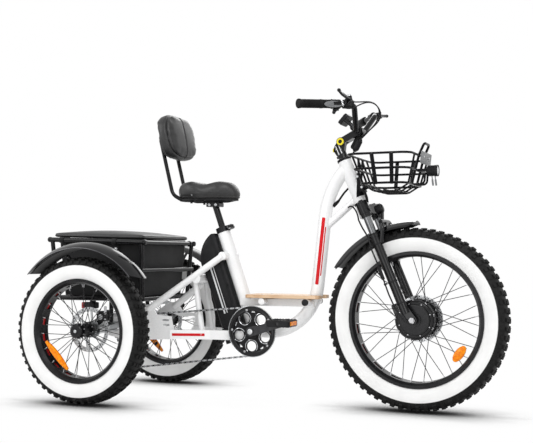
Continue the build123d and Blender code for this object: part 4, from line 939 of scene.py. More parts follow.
def chain_points():
    """The chain's joints as (x, z), one pitch apart round the sprocket, guides and chainring."""
    wheels = [(0, REAR_R, COG_R, 1), (30, 222, GUIDE_R, -1), (62, 137, GUIDE_R, 1),
              (CRANK_X, CRANK_Z, RING_R, 1)]
    runs = [tangent_run(wheels[i - 1], wheels[i]) for i in range(4)]
    path = []
    for i, wheel in enumerate(wheels):
        start, end = runs[i]
        leave = runs[(i + 1) % 4][0]
        path += [(start[0] + (end[0] - start[0]) * k / 200, start[1] + (end[1] - start[1]) * k / 200)
                 for k in range(200)]
        a0 = math.atan2(end[1] - wheel[1], end[0] - wheel[0])
        span = (wheel[3] * (math.atan2(leave[1] - wheel[1], leave[0] - wheel[0]) - a0)) % (2 * pi)
        path += [(wheel[0] + wheel[2] * cos(a0 + wheel[3] * span * k / 120),
                  wheel[1] + wheel[2] * sin(a0 + wheel[3] * span * k / 120)) for k in range(120)]
    lengths = [0.0]
    for a, b in zip(path, path[1:] + path[:1]):
        lengths.append(lengths[-1] + math.hypot(b[0] - a[0], b[1] - a[1]))
    count = 2 * round(lengths[-1] / CHAIN_PITCH / 2)
    points, k = [], 0
    for n in range(count):
        goal = lengths[-1] * n / count
        while lengths[k + 1] < goal:
            k += 1
        f = (goal - lengths[k]) / (lengths[k + 1] - lengths[k])
        a, b = path[k], path[(k + 1) % len(path)]
        points.append((a[0] + (b[0] - a[0]) * f, a[1] + (b[1] - a[1]) * f))
    return points


def chain():
    points = chain_points()
    inner, outer = Shell(), Shell()
    for n, (x, z) in enumerate(points):
        nx, nz = points[(n + 1) % len(points)]
        mx, mz = (x + nx) / 2, (z + nz) / 2
        heading = math.atan2(nz - z, nx - x)
        outline = []
        for ex, ez, start in ((nx, nz, -pi / 2), (x, z, pi / 2)):
            turns = [heading + start + pi * j / 6 for j in range(7)]
            outline += [(ex + LINK_R * cos(turn), ez + LINK_R * sin(turn)) for turn in turns]
            outline.append((mx + LINK_WAIST * cos(turns[-1]), mz + LINK_WAIST * sin(turns[-1])))
        links, offset = (outer, 2.5) if n % 2 else (inner, 1.6)
        for side in (-1, 1):
            links.prism(outline, CHAIN_Y + side * offset, CHAIN_Y + side * (offset + 0.8))
        inner.prism(circle(ROLLER_R, 8, x, z), CHAIN_Y - 3.4, CHAIN_Y + 3.4)
    obj = inner.piece("roller_chain", alloy, "frame", "steel", sharp=40)
    outer.piece("chain_outer_links", steel_grey, "frame", "steel", sharp=40)
    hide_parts("drive_chain")


chain()


# Wheel details: spoke nipples and heads, valves, reflectors and brake discs
SPOKE_GROUPS = 9
NIPPLE = [(-1, 2.7), (1.5, 2.7), (3, 2.1), (13, 1.9), (14, 1.5)]
SPOKE_HEAD = [(-1.4, 1.4), (5.2, 1.4), (5.2, 2.7), (6.2, 2.4), (6.8, 1.3)]


def spokes(centre, rim, flange, gap, middle, flip):
    """Each spoke's end at the rim and at the hub, and the side that its head is on."""
    for k in range(SPOKE_GROUPS):
        for side in (-1, 1):
            for lean in (-1, 1):
                turn = radians(5 * side + 10 * lean + 360 / SPOKE_GROUPS * k)
                end = wheel_point(centre, turn, flip * side * 17, rim - 21)
                foot_y = flip * (middle + side * gap + 3.8 * lean)
                yield end, wheel_point(centre, turn - radians(28 * lean), foot_y, flange), -flip * lean


def spoke_trim(wheel, centre, rim, flange, gap, middle, flip, valve):
    shell = Shell()
    for end, foot, head_side in spokes(centre, rim, flange, gap, middle, flip):
        shell.turned(end, foot - end, NIPPLE, 8)
        shell.turned(foot, (0, head_side, 0), SPOKE_HEAD, 8)
    shell.piece(wheel + "_spoke_ends", steel, wheel + "_wheel", "steel")
    stem_foot = wheel_point(centre, radians(valve), 0, rim - 19)
    turned(wheel + "_valve", [(0, 4.6), (4, 4.6), (5, 3.1), (24, 3.1), (25, 4), (37, 4), (39, 2.8)],
           stem_foot, centre - stem_foot, black_plastic, wheel + "_wheel", "rubber", 14)


def leaf(half_long, half_wide, inset, steps=16):
    """The outline of a long reflector with blunt ends."""
    long, wide = half_long - inset, half_wide - inset
    upper = [(long * k / steps, wide * (0.35 + 0.65 * (1 - (k / steps) ** 2)))
             for k in range(-steps, steps + 1)]
    return upper + [(a, -b) for a, b in reversed(upper)]


def reflector(name, centre, angle, radius, y, outline, body):
    """An amber reflector across the spokes on a wheel's outer side, shaped by outline(inset)."""
    out = 1 if y > 0 else -1
    along = Vector((-sin(angle), 0, cos(angle))) * out
    place = placer(wheel_point(centre, angle, y, radius), along, (cos(angle), 0, sin(angle)))
    shell = Shell()
    shell.stack([outline(inset) for inset in (0.8, 0, 0, 1.2, 4)], place, (0, 1, 4.6, 6.6, 7.6))
    shell.piece(name, amber_plastic, body, "red_lens")
    shell = Shell()
    for share in (-0.45, 0.45):
        clip = placer(place(share * 60, 0, 0), along, (cos(angle), 0, sin(angle)))
        shell.stack([rounded(6, 9, 2), rounded(6, 9, 2), rounded(5, 8, 2)], clip, (0.4, -4, -5))
    shell.piece(name + "_clips", black_plastic, body, "black_plastic")


DISC_R, DISC_TRACK_R, DISC_CARRIER_R, DISC_HOLES = 90.5, 73.5, 19.5, 30


def brake_disc(name, centre, y_from, y_to, inner, bolt_side, body):
    """A drilled steel disc over the CAD one, with its arms, carrier and bolts, coloured in the brighter alloy
    as painted light against the hub's shade.
    """
    def place(a, b, t):
        return centre + Vector((a, t, b)) / 1000

    low, high = y_from - 0.4, y_to + 0.4
    shell = Shell()
    holes = []
    for radius, shift in ((78.5, 0), (85.5, 0.5)):
        for k in range(DISC_HOLES):
            turn = 2 * pi * (k + shift) / DISC_HOLES
            holes.append(circle(2.3, 8, radius * cos(turn), radius * sin(turn)))
    shell.plate([circle(DISC_R, 120), circle(DISC_TRACK_R, 96)] + holes, place, low, high)
    shell.plate([circle(inner + 0.5, 60), circle(DISC_CARRIER_R, 40)], place, low, high)
    bolt_places = []
    for k in range(6):
        start, end = radians(60 * k), radians(60 * k + 24)
        foot = Vector((cos(start), sin(start))) * (inner - 4)
        tip = Vector((cos(end), sin(end))) * 78
        across = (tip - foot).orthogonal().normalized() * 4.9
        arm = [tuple(foot + across), tuple(tip + across * 0.8), tuple(tip - across * 0.8),
               tuple(foot - across)]
        shell.plate([arm], place, low - 0.05, high + 0.05)
        face = high if bolt_side > 0 else low
        bolt_places.append((place(*(foot * 0.86), face), (0, bolt_side, 0), 3.6, 2.6))
    # Alloy instead of steel: painted light that lifts the disc out of its shade
    shell.piece(name, alloy, body, "steel", sharp=30)
    bolts(name + "_bolts", bolt_places, alloy, body)


spoke_trim("front", FRONT_C, FRONT_RIM, flange=75.5, gap=29, middle=-4, flip=1, valve=131)
spoke_trim("right_rear", RIGHT_C, REAR_RIM, flange=29, gap=30, middle=0, flip=1, valve=220)
spoke_trim("left_rear", LEFT_C, REAR_RIM, flange=29, gap=30, middle=0, flip=-1, valve=220)
reflector("front_reflector", FRONT_C, radians(-36.5), 206, -22.4,
          lambda inset: oval(36 - inset, 17.5 - inset), "front_wheel")
for side, label in SIDES:
    reflector(label + "_rear_reflector", at(0, side * HALF_TRACK, REAR_R), radians(-136), 145, side * 22,
              lambda inset: leaf(76, 14, inset), label + "_rear_wheel")
brake_disc("front_brake_disc", FRONT_C, 44.3, 46.8, inner=36, bolt_side=1, body="front_wheel")
brake_disc("right_brake_disc", RIGHT_C, 46.8, 49.2, inner=32, bolt_side=1, body="right_rear_wheel")
brake_disc("left_brake_disc", LEFT_C, -49.2, -46.8, inner=32, bolt_side=-1, body="left_rear_wheel")

# Hubs: the motor cover's rims and screws, and the rear hubs' bolts and rings
lathe("motor_cover_rim", [(-40, 61), (-43.6, 60.6), (-46.4, 59), (-47.6, 56.4), (-47.6, 54), (-46.8, 53.6),
                          (-46, 57), (-40, 57.6)], FRONT_C, gloss_black, "front_wheel", "dark_alloy")
lathe("motor_shell_rim", [(-35.4, 71.9), (-38, 70.9), (-40, 68.5), (-40.5, 66), (-40.1, 65.4), (-36, 65.8)],
      FRONT_C, gloss_black, "front_wheel", "dark_alloy")
bolts("motor_cover_screws", [(wheel_point(FRONT_C, radians(20 + 45 * k), -40, 63), (0, -1, 0), 2.4, 1.4)
                             for k in range(8)], steel, "front_wheel")
HUB_END = 409
hub_ring = [(-5, 25.2), (-3, 26), (0.5, 26), (2.6, 24), (3.2, 19), (2.6, 12), (0.4, 11)]
for side, label in SIDES:
    bolts(label + "_hub_bolt", [(at(0, side * (HUB_END + 3), REAR_R), (0, side, 0), 6.5, 3.4)], alloy,
          label + "_rear_wheel")
for side, label in SIDES:
    turned(label + "_rear_wheel_hub_ring", hub_ring, at(0, side * HUB_END, REAR_R), (0, side, 0),
           gloss_black, label + "_rear_wheel", "dark_alloy")

# Rear calipers: adjuster rings, bolts and pull arms on their outer sides
CALIPER_FACE = 326.3
adjuster = [(-0.6, 11), (1.4, 11), (2.2, 10), (2.2, 6.4), (1, 6), (1.2, 3)]
shell = Shell()
arms = Shell()
for side in (-1, 1):
    face = side * CALIPER_FACE
    shell.turned(at(60, face, 347), (0, side, 0), adjuster, 36)
    for x, z in ((48, 363), (48, 336), (83, 338)):
        shell.bolt(at(x, face, z), (0, side, 0), 3.6, 2.2)
    arm = placer(at(86, side * 330.2, 374), (side * -1.0, 0, 0), (0, 0, 1))
    arms.stack([rounded(6 - k, 17 - k, 5 - k) for k in (0.5, 0, 0, 0.5)], arm, (-1.4, -1, 0.8, 1.2))
shell.piece("caliper_trim", alloy, "frame", "alloy")
arms.piece("caliper_arms", steel, "frame", "steel")

# Drive details: sprocket teeth, chainring trim, crank bolts, arm facets and pedal trim
shell = Shell()
for i, teeth in enumerate((34, 30, 26, 23, 20, 17, 14)):
    pitch, y = COG_R * teeth / COG_TEETH, CHAIN_Y + (4 - i) * 5
    if teeth == COG_TEETH:
        continue
    for k in range(teeth):
        turn, half = 2 * pi * k / teeth, pi / teeth
        tooth = ((pitch - 3, -0.8), (pitch - 3, 0.8), (pitch + 1.8, 0.28), (pitch + 1.8, -0.28))
        outline = [(r * cos(turn + a * half), REAR_R + r * sin(turn + a * half)) for r, a in tooth]
        shell.prism(outline, y - 0.8, y + 0.8)
shell.piece("sprocket_teeth", steel, "cassette_body", "steel")

CRANK_C = at(CRANK_X, 0, CRANK_Z)
CRANK_TURN, CRANK_REACH, PEDAL_Y = radians(15), 166, 154


def crank_point(angle, radius, y):
    return at(CRANK_X + radius * cos(angle), y, CRANK_Z + radius * sin(angle))


hole_ring = [(1.2, 25), (3.6, 25.2), (4.2, 26.2), (3.6, 27.4), (1.2, 28)]
hole_cup = [(-1.8, 20.4), (2.4, 20.4), (3.4, 21.6), (3.2, 25.1), (1.2, 25.1), (1.2, 24.2), (-1.8, 24.2)]
shell = Shell()
cups = Shell()
guard_bolts = []
for k in range(5):
    turn = CRANK_TURN + 2 * pi * k / 5
    hole = crank_point(turn + pi / 5, 60, CHAIN_Y)
    shell.turned(hole, (0, -1, 0), hole_ring, 48, closed=True)
    cups.turned(hole, (0, -1, 0), hole_cup, 48, closed=True)
    window = placer(crank_point(turn, 80, -71.4), (cos(turn), 0, sin(turn)), (sin(turn), 0, -cos(turn)))
    shell.plate([circle(9.6, 3), circle(6.6, 3)], window, -0.6, 1.4)
    guard_bolts.append((crank_point(turn + pi / 10, 87, -78), (0, -1, 0), 4.6, 2))
shell.piece("chainring_trim", chrome, "crank", "chrome")
cups.piece("chainring_cups", gloss_black, "crank", "black_paint")
bolts("chainring_bolts", guard_bolts, steel, "crank")
lathe("chain_guard_lip", [(-78.4, 84), (-79, 86), (-78.2, 88), (-78.2, 98), (-79, 101), (-77.6, 103.4),
                          (-75.4, 103.4), (-76, 84)], CRANK_C, gloss_black, "crank", "black_paint")
# The guard's outer edge in alloy: a painted highlight round the gloss black lip
lathe("chain_guard_edge_highlight", [(-78.9, 101.2), (-79.6, 102), (-79, 103.2), (-77.8, 103.9), (-76.8, 103.7),
                           (-77.6, 101.4)], CRANK_C, alloy, "crank", "alloy")
bolts("crank_bolts", [(at(CRANK_X, side * 97, CRANK_Z), (0, side, 0), 11, 2.6) for side in (-1, 1)], alloy,
      "crank")
shell = Shell()
for side, turn in ((-1, CRANK_TURN), (1, CRANK_TURN + pi)):
    along = Vector((cos(turn), 0, sin(turn)))
    across = Vector((sin(turn), 0, -cos(turn))) * -side
    facet = placer(crank_point(turn, 84, side * 94), along, across)
    loops = [[(a, b * (9 - 3.4 * (a + 58) / 116) / 10) for a, b in rounded(58 - inset, 10 - inset, 7)]
             for inset in (0, 0.4, 2)]
    shell.stack(loops, facet, (-0.5, 0.9, 1.8))
shell.piece("crank_arm_facets", crank_alloy, "crank", "dark_alloy")


def pedal_trim(name, side, turn, body):
    """Amber reflectors on a pedal's two ends and studs on its cage."""
    centre = crank_point(turn, CRANK_REACH, side * PEDAL_Y)
    shell = Shell()
    studs = Shell()
    for end in (-1, 1):
        place = placer(centre + Vector((end * 0.0478, 0, 0)), (0, end, 0), (0, 0, 1))
        loops = [rounded(32 - inset, 8 - inset, 3.5 - inset) for inset in (0, 0, 1.2)]
        shell.stack(loops, place, (-0.5, 1.6, 2.6))
        for k in range(7):
            for x, y in ((end * 42, -42 + 14 * k), (-36 + 12 * k, end * 44)):
                for up in (-1, 1):
                    studs.turned(centre + Vector((x, y, up * 12.6)) / 1000, (0, 0, up),
                                 [(0, 2.2), (1.4, 2), (2.2, 1)], 8)
    shell.piece(name + "_reflectors", amber_plastic, body, "red_lens")
    studs.piece(name + "_studs", black_plastic, body, "black_plastic")


pedal_trim("right_pedal", -1, CRANK_TURN, "right_pedal_body")
pedal_trim("left_pedal", 1, CRANK_TURN + pi, "left_pedal_body")

# Frame details: headset cups, end caps, board screws, tail light and stripes
cup = [(-0.3, 20), (-0.3, 27.6), (1, 28.8), (4.2, 28.8), (4.8, 28.2), (5.6, 28.2), (6.2, 28.8), (9.2, 28.8),
       (10.3, 27.7), (10.3, 27.1), (2, 20)]
turned_set("headset_cups", cup, [(steer(0, 0, -10), steer_up), (steer(0, 0, 188), -steer_up)], black_paint,
           "frame", "black_paint", 48, closed=True)
turned_set("cross_tube_caps", [(-5, 13.4), (1, 13.4), (2.6, 12), (3, 8)],
           [(at(845, side * 88, 409.4), (0, side, 0)) for side in (-1, 1)], black_plastic, "frame",
           "black_plastic", 32)
bolts("footboard_screws", [(at(x, y, 436.2), (0, 0, 1), 5, 1.4) for x in (650, 845) for y in (-52, 52)],
      steel, "frame")
TAIL_LIGHT_Z = 372
shell = Shell()
tail_place = placer(at(-235.6, 0, TAIL_LIGHT_Z), (0, 1, 0), (0, 0, 1))
shell.stack([rounded(20.4 - k, 14.4 - k, 6 - k / 2) for k in (1.4, 0.2, 0, 0, 0.3)], tail_place,
            (-1.6, -0.4, 1, 12, 12.6))
shell.piece("tail_light_band", red_plastic, "frame", "red_lens")
turned("tail_light_lens", [(-4, 13.6), (0.4, 13.8), (1, 12.6), (1.6, 12.4), (2, 9), (2.6, 8.6), (2.8, 3)],
       at(-240, 0, TAIL_LIGHT_Z), (-1, 0, 0), red_plastic, "frame", "red_lens", 32)


def tube_stripe(name, start, end, radius, facing, spans, material, body, slot_name):
    """Film stripes along a straight tube. Each span is (from, to, middle angle, half angle), in millimetres
    and degrees."""
    run = (end - start).normalized()
    out = (Vector(facing) - run * run.dot(Vector(facing))).normalized()
    shell = Shell()
    for low, high, middle, half in spans:
        place = placer(start, out, run.cross(out))
        loops = []
        for shrink in (0.7, 1, 1, 0.7):
            angles = [radians(middle + half * shrink * (k / 5 - 1)) for k in range(11)]
            loops.append([((radius + 0.3) * cos(a), (radius + 0.3) * sin(a)) for a in angles]
                         + [((radius - 0.6) * cos(a), (radius - 0.6) * sin(a)) for a in reversed(angles)])
        shell.stack(loops, place, (low, low + 3, high - 3, high))
    shell.piece(name, material, body, slot_name)


tube_foot, tube_head = at(868.8, 0, 475.5), at(899.5, 0, 749.8)
for side, label in SIDES:
    tube_stripe("main_tube_stripe_" + label, tube_foot, tube_head, 26, (0.12, side, 0),
                [(4, 272, 0, 15), (40, 236, 26, 5)], red_film, "frame", "red_lens")
    stay_run = Vector((158, side * -54, 0)).normalized()
    stay_out = Vector((stay_run.y * -side, stay_run.x * side, 0))
    stay_middle = at(335, side * (61 + 54 * 85 / 158), 268) + stay_out * 0.0109
    pad_plate("chainstay_stripe_" + label, 68, 5.5, 2, 0.6, 0.2,
              placer(stay_middle, stay_run, (0, 0, -side)), red_film, "frame", "red_lens")


# Battery: side panels, foot, stripes, charge port and lock
BATTERY_HALF = 40


def battery_panel(inset):
    """The outline of the battery's side panel, as (ahead, up) from the seat tube's axis."""
    arc = arc_points((-48, 74 - inset), (-92 + inset, 40 - inset), (-118 + inset, -54), 14)
    return arc + [(-118 + inset, -290 + inset), (-112 + inset, -296 + inset), (-54 - inset, -296 + inset),
                  (-48 - inset, -290 + inset), (-48 - inset, 70 - inset)]


shell = Shell()
stripes = Shell()
for side in (-1, 1):
    place = placer(seat(0, side * BATTERY_HALF, 0), seat_ahead * -side, seat_up)

    def on_side(a, b, t, place=place, side=side):
        return place(a * -side, b, t)

    shell.stack([battery_panel(inset) for inset in (0, 0.3, 1.4)], on_side, (-0.6, 1.2, 1.9))
    foot = [(-123, -306), (-123, -372), (-33, -372), (-33, -306)]
    shell.stack([foot, [(a * 0.99 - 0.8, b * 0.99 - 3.4) for a, b in foot]], on_side, (-0.6, 1.4))
    for middle, half in ((-88, 3.4), (-76, 1.6)):
        line = [(middle - half, -250), (middle + half, -250), (middle + half, -40), (middle - half, -40)]
        stripes.stack([line, line], on_side, (1.5, 2.15))
shell.piece("battery_panels", black_plastic, "frame", "black_plastic", bevel=0.5)
stripes.piece("battery_stripes", pale_film, "frame", "alloy")
turned("charge_port", [(-1, 7), (1.6, 7), (2.2, 6.2), (2.2, 4.4), (1.2, 4)], seat(-39, -BATTERY_HALF, -143),
       (0, -1, 0), rubber, "frame", "rubber", 24)
turned("battery_lock", [(-1, 6.5), (1.4, 6.5), (2.2, 5.6), (2.2, 3.4), (1.4, 3)],
       seat(-39, BATTERY_HALF, -60), (0, 1, 0), alloy, "frame", "alloy", 24)

# Rack details: strap loops with snaps, end caps and fittings on the front rail
RAIL_FRONT, RAIL_BACK, RAIL_Y, RAIL_Z, RAIL_SLOPE = 186, -250, 220, 646, 0.032


def rail_z(x):
    return RAIL_Z + (RAIL_FRONT - x) * RAIL_SLOPE


straps = Shell()
snaps = []
caps = Shell()
for side in (-1, 1):
    for x in (-200, 58):
        z = rail_z(x)
        straps.turned(at(x - 11, side * RAIL_Y, z + 0.35), (1, 0, -RAIL_SLOPE),
                      [(0, 10.3), (0, 12.2), (1, 12.7), (21, 12.7), (22, 12.2), (22, 10.3)], 32, closed=True)
        tail = placer(at(x, side * 208.6, z - 22), (side * -1.0, 0, 0), (0, 0, 1))
        straps.stack([rounded(11, 21, 3), rounded(11, 21, 3)], tail, (-0.8, 0.8))
        snaps.append((at(x, side * 209.4, z - 30), (0, side, 0), 6, 2.2))
    for x, way in ((200, 1), (-265, -1)):
        caps.turned(at(x, side * RAIL_Y, rail_z(x)), (way, 0, -RAIL_SLOPE * way),
                    [(-7, 11.2), (1, 11.2), (3.4, 9.6), (4.6, 6)], 28)
    caps.turned(at(RAIL_FRONT, side * 192, RAIL_Z), (0, side, 0),
                [(0, 9.6), (0, 11.4), (1.4, 12.6), (16, 12.6), (17.4, 11.4), (17.4, 9.6)], 32, closed=True)
straps.piece("bag_straps", bag_cloth, "frame", "bag_cloth")
bolts("bag_snaps", snaps, alloy, "frame")
caps.piece("rack_fittings", black_paint, "frame", "black_paint")


# Fenders: steel-grey beads along the rear lips, a painted highlight on their gloss black edges, and skirts on
# the front one
def fender_lip_highlight(name, centre, radius, y, from_angle, to_angle, body):
    path = [wheel_point(centre, radians(from_angle + (to_angle - from_angle) * k / 48), y, radius)
            for k in range(49)]
    tube(name, path, 1.6, steel_grey, body, "gloss_black", 8)


# Each bead's steel grey is a painted highlight along a gloss black fender lip
for side, label in SIDES:
    for edge, word in ((-1, "outer"), (1, "inner")):
        fender_lip_highlight("%s_fender_%s_bead" % (label, word), at(10, 0, 312.5), 310.6,
                    side * (HALF_TRACK - edge * 59.6), 39.5, 139.2, "frame")
SKIRT_STEPS = 60
skirts = Shell()
for side in (-1, 1):
    rows = []
    for k in range(SKIRT_STEPS + 1):
        turn = radians(90 + 58 * k / SKIRT_STEPS)
        foot = 353 + 11 * max(0, 1 - k / 5) + 8 * max(0, (k - 54) / 6) ** 2
        section = ((54, 372), (54, foot + 1), (53.4, foot), (52.6, foot + 1), (52.6, 372))
        rows.append([wheel_point(FRONT_C, turn, side * (y + 0.4), r) for y, r in section])
    skirts.skin(rows)
skirts.piece("front_fender_skirts", gloss_black, "fork_lower", "gloss_black")

# Lid hinges round the rack's rear rail
shell = Shell()
for side in (-1, 1):
    shell.turned(at(RAIL_BACK, side * 105, rail_z(RAIL_BACK)), (0, side, 0),
                 [(0, 9.5), (0, 11.4), (0.8, 12), (29.2, 12), (30, 11.4), (30, 9.5)], 40, closed=True)
    place = placer(at(RAIL_BACK, side * 120, 671.4), (1, 0, 0), (0, 1, 0))
    shell.stack([rounded(10, 15, 2), rounded(10, 15, 2)], place, (-1, 1.6))
shell.piece("lid_hinges", black_paint, "lid", "black_paint")

# Seat details: clamp bolts, quick release washer, skirt rivets
bolts("saddle_clamp_bolts", [(at(x, side * 22, 806), (0, side, 0), 6.5, 5) for x in (395, 425)
                             for side in (-1, 1)], alloy, "seat")
turned("quick_release_washer", [(-2, 9), (0.4, 9), (1.2, 8), (1.6, 4.6)], seat(38, -20, 86), (0, -1, 0),
       alloy, "frame", "alloy", 28)
rivets = []
for side in (-1, 1):
    _, spot, normal, _ = saddle.ray_cast(at(352, side * 200, 843), (0, -side, 0))
    rivets.append((spot - normal * 0.0004, normal, 3.6, 1.4))
bolts("saddle_rivets", rivets, alloy, "seat")

# Handlebar details: ribbed grips, fluted throttle, shifter cover, lever cap and bar collar
flip = Matrix.Diagonal((1, -1, 1, 1))
ribs = [(s + k, r) for s in range(12, 84, 3) for k, r in ((0, 16.4), (0.7, 15.5), (1.6, 15.5), (2.3, 16.4))]
grip_end_profile = [(-4, 9), (-4.3, 15.4), (-3, 17.4), (0.5, 18.2), (4, 18), (8, 16.6)]
right_tail = [(90, 16.4), (92, 17.3), (98, 17.3), (100, 16.4), (100, 11.3)]
left_tail = [(86, 16.4), (104, 16.4), (106, 17.2), (132, 17.2), (134, 16.2), (134, 11.3)]
grips = Shell()
grips.turned(grip_end, grip_run, grip_end_profile + ribs + right_tail, 40)
first = len(grips.verts)
grips.turned(grip_end, grip_run, grip_end_profile + ribs + left_tail, 40)
grips.verts[first:] = [flip @ v for v in grips.verts[first:]]
ribbed = grips.piece("ribbed_grips", rubber, "stem", "rubber", sharp=50)
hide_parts("grips")
FLUTE_STEPS = 60
rows = []
for i in range(FLUTE_STEPS):
    turn = 2 * pi * i / FLUTE_STEPS
    valley = 15.5 if i % 4 < 2 else 16.2
    section = ((102.3, 11.4), (102.3, 15.6), (103.5, 16.7), (106, valley), (130, valley), (132.4, 16.7),
               (133.7, 15.6), (133.7, 11.4))
    rows.append([grip(radius * cos(turn), radius * sin(turn), along) for along, radius in section])
throttle = Shell()
throttle.skin(rows, close_rows=True)
fluted = throttle.piece("fluted_throttle", rubber, "throttle", "rubber", sharp=50)
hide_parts("throttle_sleeve")
cover = placer(grip(17.4, 3, 141), grip_run, -grip_down)
shell = Shell()
loops = [[(a * k, b * k) for a, b in oval(40, 12.5)] for k in (0.96, 1, 0.93, 0.76, 0.45)]
shell.stack(loops, lambda a, b, t: cover(a, b, -t), (0, 2, 5, 7.2, 8.4))
shell.piece("shifter_cover", grey_plastic, "stem", "alloy")
turned("bar_collar", [(0, 11.2), (0, 12.2), (1, 12.8), (13, 12.8), (14, 12.2), (14, 11.2)],
       grip(0, 0, 181.2), grip_run, chrome, "stem", "chrome", 32, closed=True)
LEVER_TILT = radians(24)
lever_up = (grip_down * cos(LEVER_TILT) + grip_ahead * sin(LEVER_TILT)) * -1
lever_ahead = grip_ahead * cos(LEVER_TILT) - grip_down * sin(LEVER_TILT)
pin_top = grip(0, 0, 209) + (lever_ahead * 32 + lever_up * 13) / 1000
turned("lever_pivot_cap", [(-1, 8.6), (5, 8.6), (8, 7.4), (10, 4)], pin_top, lever_up, alloy, "stem",
       "alloy", 28)

# Stem details: yellow rings, latch lever with its tab, and side rails
turned_set("stem_pivot_rings", [(0, 7.4), (0, 14.6), (2.6, 14.6), (3.8, 13.4), (3.8, 8.4), (2.8, 7.4)],
           [(at(970, side * 20.8, 1045), (0, side, 0)) for side in (-1, 1)], yellow_metal, "stem", "alloy",
           40, closed=True)
path = smooth_route([at(952, 0, 1042), at(940, 0, 1026), at(940, 0, 1006), at(957, 0, 986)])
rows = []
for k, point in enumerate(path):
    run = (path[min(k + 1, len(path) - 1)] - path[max(k - 1, 0)]).normalized()
    out = Vector((run.z, 0, -run.x))
    rows.append([point + (Vector((0, b, 0)) + out * a) / 1000 for a, b in rounded(2.6, 8, 2, 3)])
latch = Shell()
latch.skin(rows)
latch.piece("stem_latch", dark_alloy, "steering", "dark_alloy")
pad_plate("stem_latch_tab", 14, 7.5, 3, 2.8, 0.9, placer(at(936.2, 0, 1013), (0, 1, 0), (0.05, 0, 1)),
          yellow_metal, "steering", "alloy")
rail_feet = [steer(x, side * y, 206) for side in (-1, 1) for x, y in ((-7, 17.8), (6, 18.2))]
turned_set("stem_rails", [(0, 1.4), (1, 2.4), (38, 2.4), (39, 1.4)],
           [(foot, steer_up) for foot in rail_feet], alloy, "steering", "alloy", 12)

# Lamps and display: lenses, cooling ribs, screen, buttons
HEADLIGHT_Z = 919
turned("headlight_lens", [(-1, 18.6), (0.8, 18.4), (2, 15), (2.8, 9), (3, 3)], at(1352, 0, HEADLIGHT_Z),
       (1, 0, 0), lens_glass, "frame", "alloy", 40)
turned_set("headlight_ribs", [(0, 19.4), (0.4, 21.4), (2.6, 21.4), (3, 19.4)],
           [(at(1318 + 6 * k, 0, HEADLIGHT_Z), (1, 0, 0)) for k in range(4)], black_plastic, "frame",
           "black_plastic", 40, closed=True)
turned("fork_lamp_lens", [(-4, 18.6), (-1, 18.4), (2, 16), (4, 12), (5.4, 6)], steer(70, 0, -54),
       steer_ahead, gloss_black, "fork_lower", "black_plastic", 36)
DISPLAY_LEAN = radians(48)
display_back = Vector((-cos(DISPLAY_LEAN), 0, -sin(DISPLAY_LEAN)))
face = at(986, 0, 1132) + Vector((-sin(DISPLAY_LEAN), 0, cos(DISPLAY_LEAN))) * 0.008
screen_at = placer(face + Vector((0, 0.005, 0)), (0, 1, 0), display_back)
pad_plate("display_screen", 30, 19, 4, 1.0, 0.5, screen_at, screen_glass, "stem", "black_plastic")
shell = Shell()
for k in (-1, 0, 1):
    button = placer(face + Vector((0, -0.032, 0)) - display_back * 0.012 * k, (0, 1, 0), display_back)
    shell.stack([rounded(4, 4.4, 2), rounded(4, 4.4, 2), rounded(3.2, 3.6, 2)], button, (-0.5, 1, 1.6))
shell.piece("display_buttons", grey_plastic, "stem", "black_plastic")

# Basket: the plate on its front, its bolts, the lamp's two plugs and the side straps
BASKET_SLOPE = 0.12
plate_at = placer(at(1306.5, 0, 966), (0, 1, 0), (BASKET_SLOPE, 0, 1))
pad_plate("basket_plate", 84, 23, 5, 2.2, 0.6, plate_at, grey_plastic, "frame", "alloy")
bolts("basket_bolts", [(plate_at(side * 42, 4, 2.2), (1, 0, -BASKET_SLOPE), 4.5, 2.4) for side in (-1, 1)]
      + [(steer(30, -22, z), (0, -1, 0), 5, 3.4) for z in (50, 96)], alloy, "frame")
plug = [(0, 2), (14, 2), (15, 3.6), (37, 3.6), (39, 2.6)]
turned_set("lamp_plugs", plug, [(at(x, -3, 900), (0.12, 0, -1)) for x in (1331, 1343)], grey_plastic,
           "frame", "black_plastic", 14)
shell = Shell()
for side in (-1, 1):
    for x_top, x_foot in ((1146, 1150), (1221, 1212)):
        foot, head = at(x_foot, side * 138, 868), at(x_top, side * 180, 976)
        middle = (foot + head) / 2 + Vector((0, side * 0.0066, -0.0026))
        strap = placer(middle, (head - foot) * side, (1, 0, 0))
        half = (head - foot).length * 500
        shell.stack([rounded(half + grow, 6.5 + grow / 3, 3 + grow / 3) for grow in (1.2, 3, 3, 1.2)], strap,
                    (0, 0.6, 2.4, 3))
shell.piece("basket_straps", basket_wire, "frame", "black_paint")

# Fork details: dust wipers, lead clips and adjuster
LEG_X, LEG_Y = 18, 74
turned_set("fork_wipers", [(0, 15.3), (0, 20.4), (3.4, 20.4), (5, 19), (6, 16.6), (6, 15.3)],
           [(steer(LEG_X, side * LEG_Y, -148), steer_up) for side in (-1, 1)], rubber, "fork_lower",
           "rubber", 40, closed=True)
shell = Shell()
for z in (-190, -344, -430):
    shell.turned(steer(LEG_X, -LEG_Y, z), steer_up, [(0, 17.6), (0, 18.7), (6, 18.7), (6, 17.6)], 36,
                 closed=True)
    shell.turned(steer(-5, -96.5, z), steer_up, [(0, 3.2), (0, 7.4), (6, 7.4), (6, 3.2)], 20, closed=True)
shell.piece("lead_clips", black_plastic, "fork_lower", "black_plastic")
turned("fork_adjuster", [(-1, 14.3), (2, 14.3), (4, 13), (4, 9), (8, 8.4), (9, 7)],
       steer(LEG_X, -LEG_Y, -13), steer_up, dark_alloy, "steering", "dark_alloy", 30)


# Cables: leads that cross a joint, the wrap ahead of the stem's hinge and the frame's harness
def bridging_cable(name, points, radius):
    """A fixed cable tube along a smooth route through the points, attached to no body."""
    path = smooth_route(points)
    length = sum((b - a).length for a, b in zip(path, path[1:]))
    obj = tube(name, path, radius, rubber, None, "rubber", steps=12)
    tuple(path[2])
    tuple(path[-3])
    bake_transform(obj)
    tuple(path[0])


